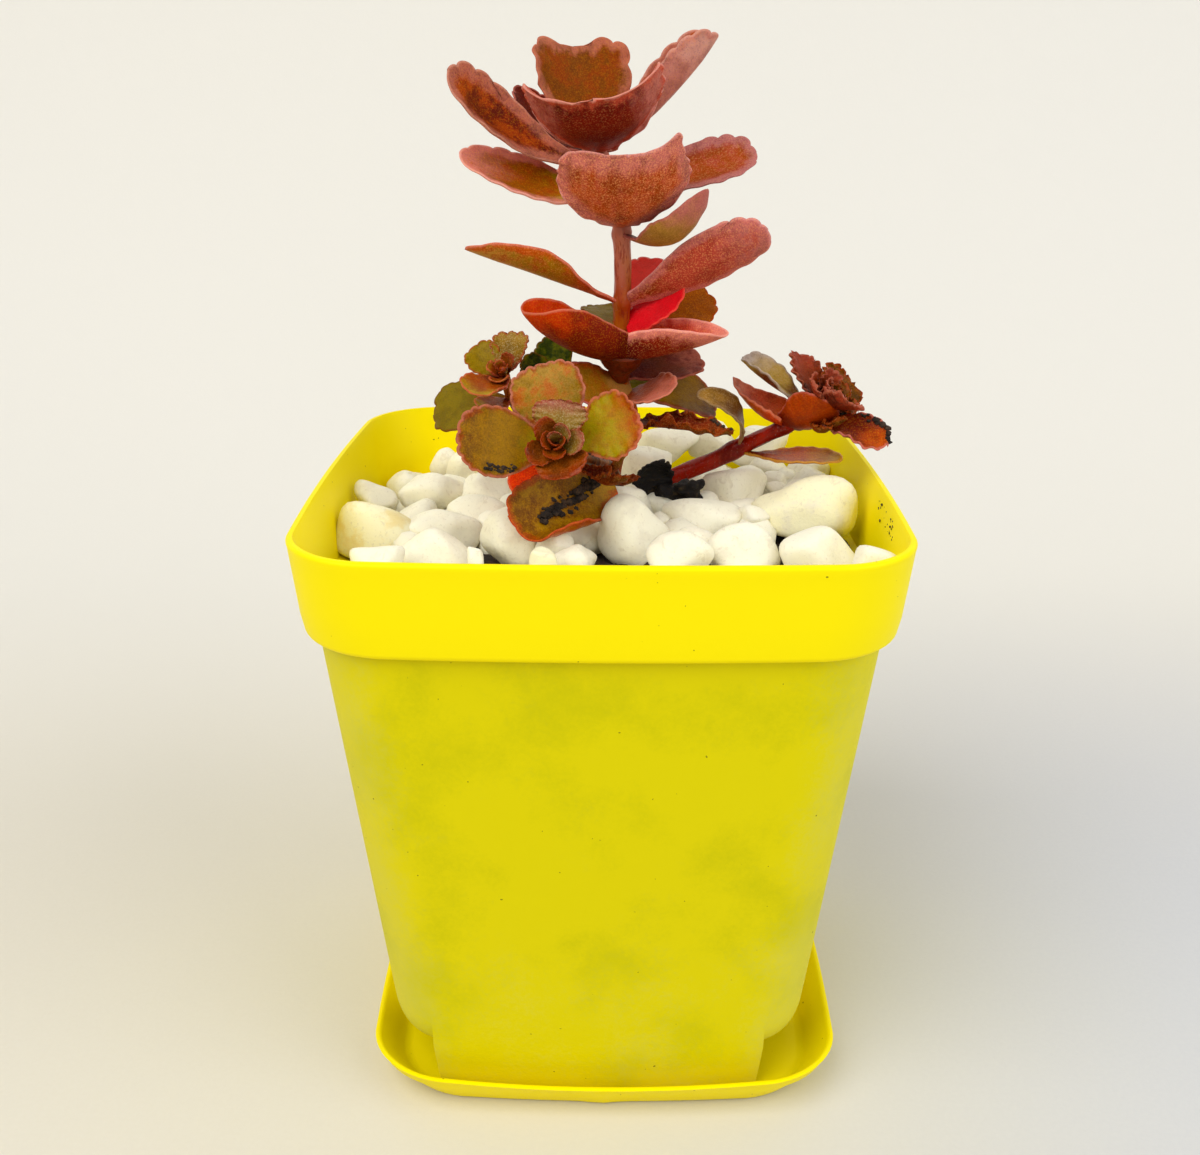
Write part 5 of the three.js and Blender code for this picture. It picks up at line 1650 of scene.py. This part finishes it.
def tube_rings(knots, radii, steps, sides=20, swellings=()):
    """Rings round a curve, with the radii spread evenly along it, which swells at some heights."""
    centres = smooth_curve(knots, steps)
    ways = np.gradient(centres, axis=0)
    ways /= np.linalg.norm(ways, axis=1)[:, None]
    arm = unit(np.cross(ways[0], (0.3, 1, 0.1)))
    rings = []
    for i in range(steps):
        share = i / (steps - 1)
        radius = np.interp(share, np.linspace(0, 1, len(radii)), radii)
        heights = [(centres[i][2] - swelling) / SWELL_REACH for swelling in swellings]
        radius *= 1 + sum(SWELL * math.exp(-(height ** 2)) for height in heights)
        arm = unit(arm - ways[i] * np.dot(arm, ways[i]))
        other = np.cross(ways[i], arm)
        ring = []
        for k in range(sides):
            angle = 2 * math.pi * k / sides
            wobble = 1 + 0.05 * math.sin(3 * angle + i * 0.35) + 0.03 * math.sin(5 * angle - i * 0.6)
            ring.append(centres[i] + (arm * math.cos(angle) + other * math.sin(angle)) * radius * wobble)
        rings.append(ring)
    return rings


# %% Make the stems
def make_stem(name, finish, knots, radii, steps, **settings):
    rings = tube_rings(knots, radii, steps, **settings)
    loft(name, rings, material=finish, slot="stem", nodes=own_node(name))
    print(name, "has", len(rings), "rings")


make_stem("main_stem", brown_stem, steps=120,
          knots=[(1.5, 10, 74), (1.5, 9, 84), (2.4, 7.5, 91.4), (2.5, 5, 101.7), (2.7, 4, 111.2),
                 (2.5, 3, 120.9), (1.1, 2.5, 126.8), (-0.5, 2, 131.5)],
          radii=(1.5, 1.5, 1.35, 1.2, 1.15, 1.2, 1.2, 0.9), swellings=(97.8, 101.5, 106, 111, 120.5, 126))
make_stem("lower_leaf_bases", clasp_red, steps=24,
          knots=[(2.5, 5, 99.8), (2.5, 4.4, 101.4), (2.6, 3.6, 103), (2.7, 3.2, 104.6)],
          radii=(1.3, 1.7, 2.3, 3.2, 4.2))
make_stem("front_stem", dark_stem, steps=60,
          knots=[(4, 1, 74), (3, 3, 80), (1.5, 2, 86.5), (-0.8, -3, 89.6), (-3.8, -9.5, 92.6),
                 (-6, -15.4, 95.8)],
          radii=(1.2, 1.2, 1.1, 1.0, 0.9, 0.9, 0.6))
make_stem("left_stem", brown_stem, steps=50,
          knots=[(-8, 10, 74), (-8.5, 9, 82), (-11, 6, 92), (-13.2, 2, 98), (-14, -0.4, 102.6)],
          radii=(1, 1, 0.9, 0.8, 0.8, 0.6))
make_stem("left_branch", brown_stem, steps=24, sides=12,
          knots=[(-9.6, 8, 87.5), (-6.5, 9, 92), (-4.8, 9, 99.6)],
          radii=(0.6, 0.5, 0.5))
make_stem("right_stem", red_stem, steps=70,
          knots=[(6, 13, 74), (8, 11.5, 79), (10.1, 10, 82.9), (14.9, 9, 85.6), (19.7, 8, 88.3),
                 (26.9, 5, 93), (31, 2, 96.7), (32.2, 1.2, 98.8)],
          radii=(1.3, 1.4, 1.35, 1.3, 1.2, 1.1, 1.0, 0.6), swellings=(88.3, 93.2))

# %% [markdown]
# ## The piece of bark
# A scrap of dark bark lies at the foot of the right shoot. It could be one sculpted lump, but a hollow
# shard stands up from it in the photograph. So the shard is made as a thick, lightly cupped leaf with
# a bark finish, and two rough lumps, which are stones with more waves, lie at its foot.

# %% Make the bark
LUMP_WAVES, LUMP_WAVE_DEPTH = 14, 0.045


def bark_finish():
    bark = Finish("dark_bark", {"Specular IOR Level": 0.3})
    lines = bark.noise(0.9, detail=5, rough=0.7, stretch=(0.4, 1, 1))
    bark.feed("Base Color", bark.mix(colour(14, 8, 5), colour(84, 66, 34), bark.step(lines, 0.52, 0.8)))
    bark.feed("Roughness", 0.4 + lines * 0.4)
    bark.bump(lines, 0.9)
    return bark.material


LEAF_SKINS["bark"] = bark_finish()
SLOT_OF_SKIN["bark"] = "bark"
make_leaf(dict(name="bark_chip", skin="bark", base=(8.4, 4.2, 82.4), tip=(6.8, 3.0, 87.8), width=6.2,
               cup=40, turn=250, clasp=1, sag=0.5, curl=0.8, stalk=0.85, widest=0.5, blunt=6, teeth=3,
               tooth=0.7, teeth_from=0.3, ripple=0.5, thick=1.5, start=0))


def bark_lump(name, place, size, turn, seed):
    points, faces = stone_points(place, size, turn, seed, detail=4, facets=7)
    chance = random.Random(seed)
    centre = np.array(place)
    for _ in range(LUMP_WAVES):
        wave = random_wave(chance, -3.4, 3.4)
        swing = np.sin(points @ wave + chance.uniform(0, 6))
        points = points + (points - centre) * (LUMP_WAVE_DEPTH * swing)[:, None]
    new_piece(name, points, faces, material=LEAF_SKINS["bark"], slot="bark")
    print(name, "has", len(faces), "faces")


bark_lump("bark_lump_left", place=(9.8, 3.8, 82.8), size=(4.4, 3.6, 3.2), turn=20, seed=8)
bark_lump("bark_lump_right", place=(12.5, 3.4, 83.2), size=(4.8, 3.4, 4.2), turn=-15, seed=21)

# %% [markdown]
# ## Soil crumbs and dry scraps
# Watering has thrown soil onto the lower leaves and the inside of the rim. A darker patch in the
# leaf's finish would look flat, so each crumb is a small rough lump. The photograph says where on a
# leaf they lie, and the leaf's own surface carries them.

# %% Places of the crumbs
def picture_spots(points):
    """The columns and rows at which the photograph shows some points."""
    ways = points - EYE
    depth = -(ways @ BACKWARDS)
    column = PICTURE_WIDTH / 2 + FOCAL_PIXELS * (ways @ RIGHTWARDS) / depth
    return np.stack([column, PICTURE_HEIGHT / 2 - FOCAL_PIXELS * (ways @ UPWARDS) / depth], axis=-1)


def spots_on_leaf(leaf, path, count, spread, seed):
    """Points of a leaf's upper face that the photograph shows along a path of columns and rows."""
    chance = random.Random(seed)
    grid = BLADES[leaf][2:-2, 2:-2].reshape(-1, 3)
    seen_at = picture_spots(grid)
    path = np.array(path, float)
    spots = []
    for _ in range(count):
        place = chance.uniform(0, len(path) - 1.001)
        target = between(path[int(place)], path[int(place) + 1], place % 1)
        target = target + [chance.gauss(0, spread), chance.gauss(0, spread)]
        spots.append(grid[np.argmin(((seen_at - target) ** 2).sum(axis=1))])
    return spots


def wall_spots(count, y_low, y_high, z_low, z_high, seed):
    """Points on the inside of the right wall of the cuff."""
    chance = random.Random(seed)
    spots = []
    for _ in range(count):
        y, z = chance.uniform(y_low, y_high), chance.uniform(z_low, z_high)
        spots.append((cuff_half(z) - WALL - SIDE_BOW * (y / 27.3) ** 2, y, z))
    return spots


tip_spot = picture_spots(BLADES["crown_back_leaf"][-1, 0])
print("the photograph shows the top leaf's tip near column and row", tip_spot.round())


# %% Crumbs
def make_crumbs(name, spots, small, big, seed, flat=1.0):
    """One piece of many crumbs. A flat number below 1 presses them against a wall on the right."""
    chance = random.Random(seed)
    points, faces = [], []
    ball_points, ball_faces = BALLS[2]
    for spot in spots:
        size = chance.uniform(small, big)
        shape = np.array([chance.uniform(0.7, 1.3), chance.uniform(0.7, 1.3), chance.uniform(0.6, 1.0)])
        rough = 1 + 0.25 * np.sin(ball_points @ random_wave(chance, 2, 5))[:, None]
        jitter = random_wave(chance, -0.3, 0.3) * size
        faces += [tuple(i + len(points) * len(ball_points) for i in face) for face in ball_faces]
        points.append(ball_points * rough * (shape * size / 2) * (flat, 1, 1) + np.array(spot) + jitter)
    new_piece(name, np.concatenate(points), faces, material=dark_soil, slot="soil")
    print(name, "has", len(points), "crumbs")


def crumbs_on_leaf(name, leaf, path, count, spread, small, big, seed):
    make_crumbs(name, spots_on_leaf(leaf, path, count, spread, seed), small, big, seed + 1)


crumbs_on_leaf("soil_on_resting_leaf", "resting_leaf", count=260, spread=2.8, small=0.3, big=1.1, seed=3,
               path=[(540, 519), (557, 507), (575, 502), (587, 486), (596, 480)])
crumbs_on_leaf("soil_on_front_left_leaf", "front_left_leaf", count=26, spread=1.5, small=0.25, big=0.7,
               seed=5, path=[(488, 466), (500, 470), (514, 468)])
crumbs_on_leaf("soil_on_front_right_leaf", "front_right_leaf", count=12, spread=2.5, small=0.2, big=0.5,
               seed=7, path=[(566, 448), (590, 458), (606, 458)])
crumbs_on_leaf("soil_on_crusted_leaf", "right_crusted_leaf", count=60, spread=2.2, small=0.3, big=0.9,
               seed=9, path=[(824, 414), (850, 412), (874, 420), (892, 428), (890, 442)])
crumbs_on_leaf("soil_on_withered_leaf", "withered_leaf", count=14, spread=1.5, small=0.3, big=0.7,
               seed=11, path=[(712, 420), (728, 428)])
right_wall = wall_spots(34, y_low=-20, y_high=-8, z_low=83.5, z_high=86.4, seed=13)
make_crumbs("soil_on_wall", right_wall, small=0.15, big=0.6, seed=14, flat=0.3)

# %% Dry scraps of old leaves and stems
DRY_SCRAP = dict(skin="withered", sag=0.6, curl=1.4, cup=80, teeth=(3, 4), tooth=0.4, teeth_from=0.2,
                 ripple=0.6, stalk=0.4, rows=36, columns=13)
DRY = [
    dict(name="dry_scrap_1", base=(-1.0, -4, 88.6), tip=(3.4, -8.5, 91.0), width=3, turn=20),
    dict(name="dry_scrap_2", base=(-2.0, -7, 89.4), tip=(3.0, -11.5, 88.6), width=2.6, turn=-30),
    dict(name="dry_scrap_3", base=(0.5, -3, 88.0), tip=(4.8, -5, 86.8), width=2.4, turn=10),
    dict(name="dry_scrap_4", base=(-3.5, -9.0, 91.0), tip=(1.6, -13.0, 90.2), width=2.4, turn=40),
    dict(name="dry_scrap_5", base=(30.6, 2.0, 95.6), tip=(34.0, -3.5, 95.0), width=2.6, turn=15),
    dict(name="dry_scrap_6", base=(30.0, 2.4, 95.2), tip=(31.6, -3.0, 93.6), width=2.4, turn=-20),
]
for scrap in DRY:
    make_leaf({**DRY_SCRAP, **scrap})
print("dry scraps:", len(DRY))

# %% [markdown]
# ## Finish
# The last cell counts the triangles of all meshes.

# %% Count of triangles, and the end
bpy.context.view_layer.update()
meshes = [piece.data for piece in bpy.data.objects if piece.type == "MESH"]
triangles = sum(len(face.vertices) - 2 for mesh in meshes for face in mesh.polygons)
print("triangles in all:", triangles)
